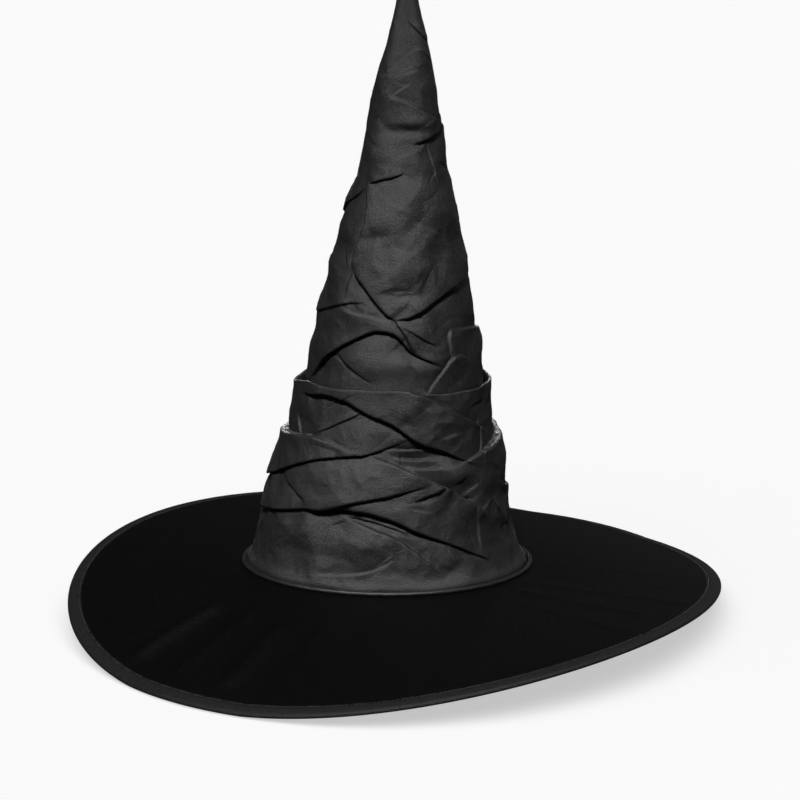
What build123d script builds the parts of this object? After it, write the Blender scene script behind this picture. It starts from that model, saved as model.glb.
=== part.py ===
from build123d import *
import os
from math import cos, pi, radians, sin, sqrt, tan

os.makedirs("parts", exist_ok=True)

# Soft pointed hat: round wired brim, oval head opening, tall slumped crown.
# Millimetres, +Z up, +X to the wearer's left as seen from the front, front towards -Y.

# Head opening and the seat of the crown on the brim
OPENING_HALF_LENGTH = 101.5
OPENING_HALF_BREADTH = 79.0
SEAT_X = -4.05
SEAT_Y = -4.48
SEAT_Z = 36.2
SEAT_TILT = 2.7

# Brim outline and the set its wire gives it
BRIM_RADIUS = 241.0
RIM_OFFSET = (4.0, 4.5)
RIM_SETTLE = 0.09
RIM_MEAN_HEIGHT = 12.7
RIM_TILT = (-2.9, 1.05)
RIM_SADDLE = (2.04, -13.95)
RIM_RIPPLE = (-0.87, 0.67)
BRIM_ROLL_POWER = 1.4
RING_STATIONS = 48

# Brim layers
BOARD_THICKNESS = 1.4
COVER_THICKNESS = 0.45
LAYER_GAP = 0.1
EDGE_INSET = 3.3
BINDING_WIDTH = 10.5
BINDING_THICKNESS = 0.45
BINDING_CORNER = 0.9
WIRE_RADIUS = 0.7
WIRE_INSET = 1.75
WIRE_END_GAP = 0.25
JOINER_INNER_RADIUS = 0.8
JOINER_OUTER_RADIUS = 1.1
JOINER_HALF_ANGLE = 3.0
THREAD_WIDTH = 0.5
THREAD_HEIGHT = 0.3
BINDING_THREAD_INSET = 9.2

# Crown walls
CLOTH_THICKNESS = 1.2
LINING_THICKNESS = 0.8
WALL_GAP = 0.3
TAPE_THICKNESS = 0.5
TAPE_WIDTH = 12.0

# The two creases that the crown bends at, above the seat
BEND_HEIGHT = 137.5
BEND_HALF_LENGTH = 64.4
BEND_HALF_BREADTH = 56.7
BEND_SIDE_SHIFT = 4.2
TIP_HEIGHT = 265.0
TIP_RADIUS = 36.0
TIP_SIDE_SHIFT = 7.8
MOUTH_CLEARANCE = 0.6

# Crown outline: height above the seat, half length, breadth ratio, sideways shift
LOWER_TIER = [
    (0.6, 102.9, 0.785, 0.0),
    (8.0, 98.6, 0.79, -0.4),
    (22.0, 93.8, 0.80, -1.0),
    (45.0, 89.8, 0.82, -1.7),
    (60.0, 88.6, 0.825, -1.9),
    (66.0, 85.4, 0.83, -1.0),
    (92.0, 80.9, 0.85, 1.6),
    (98.0, 80.2, 0.855, 1.8),
    (104.0, 74.4, 0.86, 1.6),
    (127.0, 72.2, 0.875, 2.4),
    (135.0, 71.4, 0.88, 2.8),
    (138.3, 69.4, 0.88, 3.2),
]
MIDDLE_TIER = [
    (165.0, 60.6, 0.90, 5.2),
    (172.0, 59.3, 0.905, 5.1),
    (178.0, 57.6, 0.91, 4.8),
    (194.0, 54.9, 0.925, 4.9),
    (208.0, 52.0, 0.94, 5.4),
    (223.0, 49.1, 0.955, 6.1),
    (237.0, 45.6, 0.97, 6.2),
    (252.0, 42.2, 0.985, 6.8),
    (263.0, 39.8, 1.0, 7.6),
    (265.8, 38.4, 1.0, 7.8),
]
TIP_TIER = [
    (289.0, 32.2, 1.0, 8.6),
    (307.0, 28.8, 1.0, 8.9),
    (321.0, 26.8, 1.0, 8.9),
    (335.0, 24.2, 1.0, 9.1),
    (349.0, 21.7, 1.0, 9.2),
    (363.0, 18.5, 1.0, 9.7),
    (377.0, 14.8, 1.0, 10.3),
    (390.0, 11.5, 1.0, 10.5),
    (403.0, 8.6, 1.0, 10.3),
    (415.0, 6.3, 1.0, 9.9),
    (425.0, 4.2, 1.0, 9.5),
    (431.0, 1.8, 1.0, 9.2),
]
BEND_FOOT_STATIONS = [-22.0, -15.0, -8.0, 0.0, 8.0, 14.0]
TIP_FOOT_STATIONS = [-24.0, -17.0, -9.0, 0.0, 9.0, 15.0, 20.0]

# Sweatband, piping and label
SWEATBAND_STATIONS = [
    (-3.2, 100.0, 0.78, 0.0),
    (0.6, 99.4, 0.78, 0.0),
    (8.0, 95.6, 0.785, -0.4),
    (22.0, 90.6, 0.795, -1.0),
    (28.0, 89.4, 0.80, -1.2),
]
SWEATBAND_THICKNESS = 1.0
SWEATBAND_THREAD_HEIGHT = -1.4
PIPING_RADIUS = 1.3
PIPING_WALL = 0.4
PIPING_CORD_RADIUS = 0.75
PIPING_OUTSET = 3.2
PIPING_SIDES = 10
PIPING_MOUTH_ANGLE = 40.0
LABEL_WIDTH = 26.0
LABEL_HEIGHT = 18.0
LABEL_THICKNESS = 0.4
LABEL_BOTTOM = 7.0
LABEL_BACK_OFFSET = 68.6

SEAT = Plane(
    origin=(SEAT_X, SEAT_Y, SEAT_Z),
    x_dir=(cos(radians(SEAT_TILT)), 0, -sin(radians(SEAT_TILT))),
    z_dir=(sin(radians(SEAT_TILT)), 0, cos(radians(SEAT_TILT))),
)
HALF_STACK = BOARD_THICKNESS / 2 + LAYER_GAP + COVER_THICKNESS
HALF_BINDING = HALF_STACK + LAYER_GAP + BINDING_THICKNESS


def opening_radius(theta):
    """Radius of the oval head opening in one direction."""
    across = OPENING_HALF_BREADTH * cos(theta)
    along = OPENING_HALF_LENGTH * sin(theta)
    return OPENING_HALF_LENGTH * OPENING_HALF_BREADTH / sqrt(across**2 + along**2)


def rim_height(theta):
    """Height of the rim's middle line: a saddle that rests on two short arcs."""
    height = RIM_MEAN_HEIGHT
    for order, (even, odd) in enumerate((RIM_TILT, RIM_SADDLE, RIM_RIPPLE), start=1):
        height += even * cos(order * theta) + odd * sin(order * theta)
    return max(height, 0.0) + HALF_BINDING - RIM_SETTLE


def brim_point(theta, share, lift):
    """Point of the brim, from share 0 at the head opening to 1 at the rim."""
    inner = opening_radius(theta)
    start_x = SEAT_X + inner * cos(theta)
    start_y = SEAT_Y + inner * sin(theta)
    start_z = SEAT_Z - tan(radians(SEAT_TILT)) * (start_x - SEAT_X) - HALF_STACK
    end_z = rim_height(theta)
    outer = inner + sqrt((BRIM_RADIUS - inner) ** 2 - (start_z - end_z) ** 2)
    end_x = SEAT_X + RIM_OFFSET[0] + outer * cos(theta)
    end_y = SEAT_Y + RIM_OFFSET[1] + outer * sin(theta)
    fall = max(share, 0.0) ** BRIM_ROLL_POWER
    return (
        start_x + (end_x - start_x) * share,
        start_y + (end_y - start_y) * share,
        start_z + (end_z - start_z) * fall + lift,
    )


def from_rim(inset, lift):
    """Line round the brim at a set distance in from the rim."""
    return lambda theta: brim_point(theta, 1 - inset / (BRIM_RADIUS - opening_radius(theta)), lift)


def from_opening(outset, lift):
    """Line round the brim at a set distance out from the head opening."""
    return lambda theta: brim_point(theta, outset / (BRIM_RADIUS - opening_radius(theta)), lift)


def part_way(share, lift):
    """Line round the brim at a set share of its width."""
    return lambda theta: brim_point(theta, share, lift)


def ring_line(corner):
    """Closed smooth line round the brim through one corner of a section."""
    step = 2 * pi / RING_STATIONS
    return Edge.make_spline([corner(i * step) for i in range(RING_STATIONS)], periodic=True)


def ring_solid(corners):
    """Closed ring with a many-sided section, one ruled face per side."""
    lines = [ring_line(corner) for corner in corners]
    following = lines[1:] + lines[:1]
    faces = [Face.make_surface_from_curves(one, other) for one, other in zip(lines, following)]
    return Solid(Shell(faces))


def piping_corner(radius, angle):
    """Line round the crown's foot at one corner of the piping's section."""
    out = PIPING_OUTSET + radius * cos(radians(angle))
    up = HALF_STACK + LAYER_GAP + PIPING_RADIUS + radius * sin(radians(angle))
    return from_opening(out, up)


def layer(low, high, inner, outer):
    """Section of one brim layer between two lifts, with stations across its width."""
    shares = (0.25, 0.5, 0.75)
    top = [from_opening(inner, high)] + [part_way(s, high) for s in shares] + [from_rim(outer, high)]
    bottom = [from_rim(outer, low)] + [part_way(s, low) for s in reversed(shares)]
    return top + bottom + [from_opening(inner, low)]


def oval_loft(stations, inset, mode=Mode.ADD):
    """Crown body through oval stations, each drawn in by the inset."""
    sections = []
    for height, half_length, ratio, shift in stations:
        with BuildSketch(SEAT.offset(height)) as station:
            with Locations((shift, 0)):
                Ellipse(half_length - inset, half_length * ratio - inset)
        sections.append(station.sketch)
    loft(sections, ruled=True, mode=mode)


def foot_stations(centre, half_length, half_height, ratio, shift, levels):
    """Stations of a crown piece's rounded foot, which turns in the mouth below it."""
    return [
        (centre + t, half_length * sqrt(1 - (t / half_height) ** 2), ratio, shift)
        for t in levels
    ]


def clipped(stations, low, high):
    """Stations between two heights, with new ones made at the cuts."""
    kept = [s for s in stations if low < s[0] < high]
    for cut in (low, high):
        for one, two in zip(stations, stations[1:]):
            if one[0] <= cut <= two[0]:
                share = (cut - one[0]) / (two[0] - one[0])
                kept.append(tuple(p + (q - p) * share for p, q in zip(one, two)))
                break
    return sorted(kept)


def brim_path(corner, start, stop, stations):
    """Open smooth line along the brim between two angles in degrees."""
    span = stop - start
    angles = [radians(start + span * i / stations) for i in range(stations + 1)]
    return Edge.make_spline([corner(a) for a in angles])


MIDDLE_STATIONS = (
    foot_stations(
        BEND_HEIGHT,
        BEND_HALF_LENGTH,
        BEND_HALF_BREADTH,
        BEND_HALF_BREADTH / BEND_HALF_LENGTH,
        BEND_SIDE_SHIFT,
        BEND_FOOT_STATIONS,
    )
    + MIDDLE_TIER
)
TIP_STATIONS = (
    foot_stations(TIP_HEIGHT, TIP_RADIUS, TIP_RADIUS, 1.0, TIP_SIDE_SHIFT, TIP_FOOT_STATIONS)
    + TIP_TIER
)
LINING_INSET = CLOTH_THICKNESS + WALL_GAP
TAPE_INSET = LINING_INSET + LINING_THICKNESS + WALL_GAP

# Brim board: stiff felt that gives the brim its body
with BuildPart() as brim_board:
    add(ring_solid(layer(-BOARD_THICKNESS / 2, BOARD_THICKNESS / 2, 0.4, EDGE_INSET)))

# Brim covers: one cloth above the board and one below
COVER_START = BOARD_THICKNESS / 2 + LAYER_GAP
with BuildPart() as brim_top_cover:
    add(ring_solid(layer(COVER_START, HALF_STACK, 0.0, EDGE_INSET)))
with BuildPart() as brim_under_cover:
    add(ring_solid(layer(-HALF_STACK, -COVER_START, 0.0, EDGE_INSET)))

# Rim wire: one open loop whose ends meet inside the joiner at the back
wire_line = from_rim(WIRE_INSET, 0.0)
joint_angle = 90.0
with BuildPart() as rim_wire:
    wire_path = brim_path(wire_line, joint_angle + WIRE_END_GAP, joint_angle + 360 - WIRE_END_GAP, 96)
    with BuildSketch(Plane(wire_path @ 0, z_dir=wire_path % 0)):
        Circle(WIRE_RADIUS)
    sweep(path=wire_path)

# Wire joiner: a short crimped tube over both ends of the wire
with BuildPart() as wire_joiner:
    joiner_path = brim_path(
        wire_line, joint_angle - JOINER_HALF_ANGLE, joint_angle + JOINER_HALF_ANGLE, 6
    )
    with BuildSketch(Plane(joiner_path @ 0, z_dir=joiner_path % 0)):
        Circle(JOINER_OUTER_RADIUS)
        Circle(JOINER_INNER_RADIUS, mode=Mode.SUBTRACT)
    sweep(path=joiner_path)

# Edge binding: tape folded round the rim
BINDING_INSIDE = HALF_STACK + LAYER_GAP
INSIDE_CORNER = BINDING_CORNER - BINDING_THICKNESS / 2
with BuildPart() as edge_binding:
    add(
        ring_solid(
            [
                from_rim(BINDING_WIDTH, HALF_BINDING),
                from_rim(BINDING_CORNER, HALF_BINDING),
                from_rim(0.0, HALF_BINDING - BINDING_CORNER),
                from_rim(0.0, BINDING_CORNER - HALF_BINDING),
                from_rim(BINDING_CORNER, -HALF_BINDING),
                from_rim(BINDING_WIDTH, -HALF_BINDING),
                from_rim(BINDING_WIDTH, -BINDING_INSIDE),
                from_rim(BINDING_CORNER, -BINDING_INSIDE),
                from_rim(BINDING_THICKNESS, INSIDE_CORNER - BINDING_INSIDE),
                from_rim(BINDING_THICKNESS, BINDING_INSIDE - INSIDE_CORNER),
                from_rim(BINDING_CORNER, BINDING_INSIDE),
                from_rim(BINDING_WIDTH, BINDING_INSIDE),
            ]
        )
    )

# Binding thread: the line of stitching laid on the tape's top face
THREAD_START = HALF_BINDING + LAYER_GAP / 2
with BuildPart() as binding_thread:
    add(
        ring_solid(
            [
                from_rim(BINDING_THREAD_INSET + THREAD_WIDTH, THREAD_START + THREAD_HEIGHT),
                from_rim(BINDING_THREAD_INSET, THREAD_START + THREAD_HEIGHT),
                from_rim(BINDING_THREAD_INSET, THREAD_START),
                from_rim(BINDING_THREAD_INSET + THREAD_WIDTH, THREAD_START),
            ]
        )
    )

# Sweatband: the soft strip that stands up inside the head opening
with BuildPart() as sweatband:
    oval_loft(SWEATBAND_STATIONS, 0.0)
    oval_loft(SWEATBAND_STATIONS, SWEATBAND_THICKNESS, mode=Mode.SUBTRACT)

# Sweatband thread: the seam line on its inner face, just above its lower edge
with BuildPart() as sweatband_thread:
    thread_band = clipped(
        SWEATBAND_STATIONS,
        SWEATBAND_THREAD_HEIGHT,
        SWEATBAND_THREAD_HEIGHT + THREAD_WIDTH,
    )
    oval_loft(thread_band, SWEATBAND_THICKNESS + LAYER_GAP)
    oval_loft(thread_band, SWEATBAND_THICKNESS + LAYER_GAP + THREAD_HEIGHT, mode=Mode.SUBTRACT)

# Lower crown: flared foot, two slumped ledges, and a lip turned in round its mouth
with BuildPart() as crown_lower_cloth:
    oval_loft(LOWER_TIER, 0.0)
    lower_inside = clipped(LOWER_TIER, LOWER_TIER[0][0], LOWER_TIER[-1][0] - CLOTH_THICKNESS)
    oval_loft(lower_inside, CLOTH_THICKNESS, mode=Mode.SUBTRACT)
    with BuildSketch(SEAT.offset(LOWER_TIER[-1][0] - 2 * CLOTH_THICKNESS)):
        with Locations((BEND_SIDE_SHIFT, 0)):
            Ellipse(BEND_HALF_LENGTH + MOUTH_CLEARANCE, BEND_HALF_BREADTH + MOUTH_CLEARANCE)
    extrude(amount=4 * CLOTH_THICKNESS, mode=Mode.SUBTRACT)

# Lower crown lining: interlining that stands behind the cloth
with BuildPart() as crown_lower_lining:
    lower_lining = clipped(LOWER_TIER, 3.0, 130.0)
    oval_loft(lower_lining, LINING_INSET)
    oval_loft(lower_lining, LINING_INSET + LINING_THICKNESS, mode=Mode.SUBTRACT)

# Middle crown: its rounded foot turns in the lower crown's mouth
with BuildPart() as crown_middle_cloth:
    oval_loft(MIDDLE_STATIONS, 0.0)
    middle_inside = clipped(
        MIDDLE_STATIONS, MIDDLE_STATIONS[0][0], MIDDLE_STATIONS[-1][0] - CLOTH_THICKNESS
    )
    oval_loft(middle_inside, CLOTH_THICKNESS, mode=Mode.SUBTRACT)
    with BuildSketch(SEAT.offset(MIDDLE_STATIONS[-1][0] - 2 * CLOTH_THICKNESS)):
        with Locations((TIP_SIDE_SHIFT, 0)):
            Circle(TIP_RADIUS + MOUTH_CLEARANCE)
    extrude(amount=4 * CLOTH_THICKNESS, mode=Mode.SUBTRACT)

# Middle crown lining
with BuildPart() as crown_middle_lining:
    middle_lining = clipped(MIDDLE_STATIONS, BEND_HEIGHT - 18.0, TIP_HEIGHT - 5.0)
    oval_loft(middle_lining, LINING_INSET)
    oval_loft(middle_lining, LINING_INSET + LINING_THICKNESS, mode=Mode.SUBTRACT)

# Crown tip: closed point with a rounded foot in the middle crown's mouth
TIP_CLOSING = TIP_STATIONS[-1][0] - 12.0
with BuildPart() as crown_tip_cloth:
    oval_loft(TIP_STATIONS, 0.0)
    oval_loft(
        clipped(TIP_STATIONS, TIP_STATIONS[0][0], TIP_CLOSING), CLOTH_THICKNESS, mode=Mode.SUBTRACT
    )

# Crown tip lining
with BuildPart() as crown_tip_lining:
    tip_lining = clipped(TIP_STATIONS, TIP_HEIGHT - 20.0, TIP_HEIGHT + 125.0)
    oval_loft(tip_lining, LINING_INSET)
    oval_loft(tip_lining, LINING_INSET + LINING_THICKNESS, mode=Mode.SUBTRACT)

# Base piping: tape folded round a cord, covering the crown's lower edge on the brim
with BuildPart() as base_piping:
    turn = (360 - PIPING_MOUTH_ANGLE) / PIPING_SIDES
    around = [PIPING_MOUTH_ANGLE / 2 + i * turn for i in range(PIPING_SIDES + 1)]
    outside = [piping_corner(PIPING_RADIUS, 180 + a) for a in around]
    inside = [piping_corner(PIPING_RADIUS - PIPING_WALL, 180 + a) for a in reversed(around)]
    add(ring_solid(outside + inside))

# Piping cord: the cord inside the folded tape
with BuildPart() as piping_cord:
    turn = 360 / PIPING_SIDES
    add(ring_solid([piping_corner(PIPING_CORD_RADIUS, i * turn) for i in range(PIPING_SIDES)]))

# Care label: a plain blank tab inside the back of the sweatband
with BuildPart() as care_label:
    with BuildSketch(SEAT.offset(LABEL_BOTTOM)):
        with Locations((SWEATBAND_STATIONS[2][3], LABEL_BACK_OFFSET)):
            Rectangle(LABEL_WIDTH, LABEL_THICKNESS)
    extrude(amount=LABEL_HEIGHT)


def seam_window(shift):
    """Keep only the strip at the back that a seam tape covers."""
    with BuildSketch(SEAT) as window:
        with Locations((shift, OPENING_HALF_BREADTH)):
            Rectangle(TAPE_WIDTH, 2 * OPENING_HALF_BREADTH)
    extrude(window.sketch, amount=TIP_STATIONS[-1][0], mode=Mode.INTERSECT)


# Back seam tapes: narrow strips behind the crown's single back seam
with BuildPart() as back_seam_tape_lower:
    lower_tape = clipped(LOWER_TIER, 32.0, 126.0)
    oval_loft(lower_tape, TAPE_INSET)
    oval_loft(lower_tape, TAPE_INSET + TAPE_THICKNESS, mode=Mode.SUBTRACT)
    seam_window(lower_tape[0][3])
with BuildPart() as back_seam_tape_middle:
    middle_tape = clipped(MIDDLE_STATIONS, BEND_HEIGHT - 12.0, TIP_HEIGHT - 14.0)
    oval_loft(middle_tape, TAPE_INSET)
    oval_loft(middle_tape, TAPE_INSET + TAPE_THICKNESS, mode=Mode.SUBTRACT)
    seam_window(BEND_SIDE_SHIFT)
with BuildPart() as back_seam_tape_tip:
    tip_tape = clipped(TIP_STATIONS, TIP_HEIGHT - 14.0, TIP_HEIGHT + 90.0)
    oval_loft(tip_tape, TAPE_INSET)
    oval_loft(tip_tape, TAPE_INSET + TAPE_THICKNESS, mode=Mode.SUBTRACT)
    seam_window(TIP_SIDE_SHIFT)

brim_board.part.label = "brim_board"
export_step(brim_board.part, "parts/brim_board.step")
brim_top_cover.part.label = "brim_top_cover"
export_step(brim_top_cover.part, "parts/brim_top_cover.step")
brim_under_cover.part.label = "brim_under_cover"
export_step(brim_under_cover.part, "parts/brim_under_cover.step")
rim_wire.part.label = "rim_wire"
export_step(rim_wire.part, "parts/rim_wire.step")
wire_joiner.part.label = "wire_joiner"
export_step(wire_joiner.part, "parts/wire_joiner.step")
edge_binding.part.label = "edge_binding"
export_step(edge_binding.part, "parts/edge_binding.step")
binding_thread.part.label = "binding_thread"
export_step(binding_thread.part, "parts/binding_thread.step")
sweatband.part.label = "sweatband"
export_step(sweatband.part, "parts/sweatband.step")
sweatband_thread.part.label = "sweatband_thread"
export_step(sweatband_thread.part, "parts/sweatband_thread.step")
crown_lower_cloth.part.label = "crown_lower_cloth"
export_step(crown_lower_cloth.part, "parts/crown_lower_cloth.step")
crown_lower_lining.part.label = "crown_lower_lining"
export_step(crown_lower_lining.part, "parts/crown_lower_lining.step")
crown_middle_cloth.part.label = "crown_middle_cloth"
export_step(crown_middle_cloth.part, "parts/crown_middle_cloth.step")
crown_middle_lining.part.label = "crown_middle_lining"
export_step(crown_middle_lining.part, "parts/crown_middle_lining.step")
crown_tip_cloth.part.label = "crown_tip_cloth"
export_step(crown_tip_cloth.part, "parts/crown_tip_cloth.step")
crown_tip_lining.part.label = "crown_tip_lining"
export_step(crown_tip_lining.part, "parts/crown_tip_lining.step")
base_piping.part.label = "base_piping"
export_step(base_piping.part, "parts/base_piping.step")
piping_cord.part.label = "piping_cord"
export_step(piping_cord.part, "parts/piping_cord.step")
care_label.part.label = "care_label"
export_step(care_label.part, "parts/care_label.step")
back_seam_tape_lower.part.label = "back_seam_tape_lower"
export_step(back_seam_tape_lower.part, "parts/back_seam_tape_lower.step")
back_seam_tape_middle.part.label = "back_seam_tape_middle"
export_step(back_seam_tape_middle.part, "parts/back_seam_tape_middle.step")
back_seam_tape_tip.part.label = "back_seam_tape_tip"
export_step(back_seam_tape_tip.part, "parts/back_seam_tape_tip.step")
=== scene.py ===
"""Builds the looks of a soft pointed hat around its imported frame."""

import math

import bpy
import numpy as np
from mathutils import Matrix, Vector, noise


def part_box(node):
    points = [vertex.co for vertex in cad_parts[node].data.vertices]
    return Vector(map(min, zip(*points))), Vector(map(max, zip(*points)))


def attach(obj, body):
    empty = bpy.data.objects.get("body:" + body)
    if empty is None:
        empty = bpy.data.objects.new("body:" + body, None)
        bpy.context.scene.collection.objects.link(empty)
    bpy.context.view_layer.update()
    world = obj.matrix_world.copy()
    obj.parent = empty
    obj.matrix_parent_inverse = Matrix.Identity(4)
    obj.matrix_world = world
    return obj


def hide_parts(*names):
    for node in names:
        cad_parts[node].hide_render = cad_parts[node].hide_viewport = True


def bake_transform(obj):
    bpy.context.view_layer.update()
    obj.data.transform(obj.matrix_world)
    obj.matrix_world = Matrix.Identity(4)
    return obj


bl_info = {
    "name": "Pointed Hat",
    "version": (1, 0, 0),
    "blender": (4, 5, 0),
    "location": "3D View > Sidebar > Hat",
    "description": "Slumped satin crown, wired brim, bound edge and fittings of a pointed hat",
    "category": "Object",
}

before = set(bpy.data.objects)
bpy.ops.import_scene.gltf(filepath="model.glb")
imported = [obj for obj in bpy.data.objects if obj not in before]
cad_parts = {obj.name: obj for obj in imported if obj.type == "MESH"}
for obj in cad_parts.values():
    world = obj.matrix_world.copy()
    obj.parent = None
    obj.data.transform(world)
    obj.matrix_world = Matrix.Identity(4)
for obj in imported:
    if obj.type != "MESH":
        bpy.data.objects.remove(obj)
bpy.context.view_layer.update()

MM = 0.001
TURN = 2 * math.pi
HAT_BASE = "hat_base"

# Seat of the crown on the brim, and the brim's set, in millimetres and degrees
SEAT = np.array((-4.05, -4.48, 36.2))
SEAT_TILT = math.radians(2.7)
OPENING = (101.5, 79.0)
BRIM_RADIUS = 241.0
RIM_OFFSET = (4.0, 4.5)
RIM_SETTLE = 0.09
RIM_MEAN_HEIGHT = 12.7
RIM_WAVES = ((-2.9, 1.05), (2.04, -13.95), (-0.87, 0.67))
BRIM_ROLL_POWER = 1.4
HALF_STACK = 1.25
HALF_BINDING = 1.8

# Crown outline: height above the seat, half length, breadth ratio, sideways shift
LOWER_OUTLINE = np.array(
    [
        (0.3, 103.0, 0.785, 0.0),
        (1.8, 102.5, 0.785, -0.1),
        (4.0, 102.2, 0.787, -0.2),
        (9.0, 98.6, 0.79, -0.4),
        (22.0, 94.0, 0.80, -1.0),
        (42.0, 90.2, 0.82, -1.7),
        (62.0, 87.2, 0.825, -1.2),
        (84.0, 81.6, 0.845, 1.2),
        (100.0, 76.6, 0.857, 1.8),
        (118.0, 72.6, 0.87, 2.2),
        (135.0, 70.6, 0.88, 2.8),
        (150.0, 69.6, 0.885, 3.4),
    ]
)
UPPER_OUTLINE = np.array(
    [
        (116.0, 58.6, 0.88, 4.2),
        (126.0, 62.6, 0.88, 4.2),
        (137.5, 64.0, 0.88, 4.2),
        (151.5, 62.6, 0.885, 4.5),
        (165.0, 60.8, 0.90, 5.0),
        (180.0, 57.3, 0.915, 4.9),
        (194.0, 55.0, 0.925, 4.9),
        (208.0, 52.0, 0.94, 5.4),
        (223.0, 49.1, 0.955, 6.1),
        (237.0, 45.7, 0.97, 6.2),
        (252.0, 42.3, 0.985, 6.8),
        (264.0, 39.4, 1.0, 7.4),
        (276.0, 35.8, 1.0, 8.6),
        (289.0, 32.4, 1.0, 8.9),
        (307.0, 28.9, 1.0, 8.9),
        (321.0, 26.8, 1.0, 8.9),
        (335.0, 24.2, 1.0, 9.1),
        (349.0, 21.8, 1.0, 9.2),
        (363.0, 18.5, 1.0, 9.7),
        (377.0, 14.8, 1.0, 10.3),
        (390.0, 11.6, 1.0, 10.5),
        (403.0, 8.7, 1.0, 10.3),
        (415.0, 6.4, 1.0, 9.9),
        (425.0, 4.4, 1.0, 9.5),
        (431.0, 2.2, 1.0, 9.2),
    ]
)
# Height of the turned lip that the upper crown rises out of, by angle round the crown
LIP_LINE = (
    (-180, 139), (-150, 141), (-120, 138), (-92, 135), (-77, 139), (-60, 142.5), (-40, 142),
    (-19, 143), (2, 143), (18, 140), (30, 138.5), (62, 139), (92, 138), (120, 141), (150, 140),
    (180, 139),
)

# Cloth turned inward over the lip: steps inward and upward from the lip's edge
LIP_ROLL = (
    (0.5, 0.5), (1.2, 0.55), (1.9, 0.1), (2.3, -1.0), (2.6, -3.0), (2.9, -6.0), (3.0, -9.0),
)
UPPER_FOOT = 117.0
CROWN_PEAK = (9.2, 0.0, 431.9)

# Folds of the crown. Angles run from the front towards the wearer's left, in degrees, and
# heights are above the seat. The cloth on one side of a line lies over the cloth on the
# other: lift raises the free edge, drop sinks the cloth tucked under it.
# (over side, lift, drop, reach over, reach under, fade in, fade out, line)
LOWER_FOLDS = (
    ("above", 2.4, 1.6, 13, 8, 0.1, 0.25,
     ((-104, 44), (-87, 44), (-68, 49), (-50, 54), (-32, 60), (-13, 67), (10, 74), (24, 79))),
    ("above", 1.5, 6.8, 14, 9, 0.2, 0.6,
     ((-44, 57), (-32, 59), (-20, 61), (-7, 59), (6, 52), (17, 43), (30, 33))),
    ("above", 1.3, 1.8, 12, 6, 0.25, 0.3, ((2, 55), (17, 43), (32, 32), (46, 20), (54, 13))),
    ("above", 0.9, 1.6, 5, 4, 0.4, 0.4, ((-26, 53), (-10, 52), (4, 46), (14, 38))),
    ("below", 1.3, 1.3, 14, 5, 0.3, 0.3,
     ((-32, 57), (-25, 56), (-17, 51), (4, 39), (19, 20), (27, 11))),
    ("above", 1.0, 1.3, 7, 6, 0.3, 0.3, ((-66, 76), (-50, 67), (-39, 60))),
    ("above", 1.9, 2.4, 13, 8, 0.2, 0.3,
     ((-108, 62), (-92, 66), (-76, 73), (-64, 80), (-52, 87), (-39, 93), (-24, 97), (-13, 99),
      (2, 105), (14, 112))),
    ("below", 2.6, 3.2, 13, 9, 0.15, 0.15,
     ((26, 85), (50, 92), (67, 95), (92, 98), (120, 101), (150, 97), (180, 95), (210, 99),
      (240, 97), (262, 98), (282, 100), (311, 105), (324, 104), (335, 101), (348, 99))),
    ("below", 2.0, 3.4, 14, 9, 0.2, 0.3, ((-15, 99), (-3, 93), (7, 87), (28, 72), (45, 57), (56, 46))),
    ("below", 1.5, 2.2, 4, 4, 0.4, 0.4, ((-8, 102), (9, 100), (29, 101))),
    ("below", 1.4, 2.0, 4, 4, 0.4, 0.4, ((-3, 96), (12, 93), (30, 93))),
    ("below", 1.1, 1.8, 4, 4, 0.4, 0.4, ((4, 90), (15, 87), (33, 87))),
    ("above", 2.0, 3.4, 12, 8, 0.15, 0.25,
     ((-68, 133), (-56, 135), (-44, 138), (-29, 136), (-16, 129), (-8, 125), (1, 120), (13, 109),
      (21, 104), (29, 100), (42, 90), (54, 82))),
    ("above", 0.9, 1.3, 6, 6, 0.3, 0.3, ((-50, 106), (-31, 119), (-14, 130))),
    ("below", 2.0, 2.2, 13, 8, 0.3, 0.3,
     ((-6, 146), (6, 143), (18, 138), (29, 130), (41, 122), (55, 113), (70, 104))),
    ("above", 0.9, 0.9, 5, 5, 0.3, 0.3, ((56, 122), (58, 104), (54, 86))),
    ("above", 0.8, 1.0, 8, 6, 0.4, 0.4, ((43, 66), (47, 44), (46, 20))),
    ("below", 0.6, 0.8, 7, 5, 0.4, 0.4, ((-40, 9), (-29, 11), (-16, 13), (-5, 17), (8, 30))),
    ("below", 1.0, 1.6, 6, 5, 0.3, 0.3, ((18, 79), (28, 73), (37, 66), (46, 58), (54, 50))),
    ("above", 1.2, 2.4, 6, 5, 0.4, 0.3, ((11, 65), (20, 71), (29, 73))),
    ("above", 1.0, 2.2, 6, 5, 0.3, 0.4, ((28, 71), (36, 66), (46, 62))),
    ("above", 0.9, 1.0, 6, 6, 0.3, 0.4, ((60, 60), (70, 40), (74, 18))),
    ("below", 0.9, 1.0, 7, 6, 0.3, 0.4, ((66, 72), (80, 62), (104, 58))),
    ("above", 0.8, 0.9, 6, 6, 0.4, 0.4, ((-82, 30), (-74, 18), (-60, 8))),
    ("below", 0.8, 1.0, 6, 6, 0.4, 0.4, ((-70, 118), (-64, 108), (-60, 101))),
)
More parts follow.
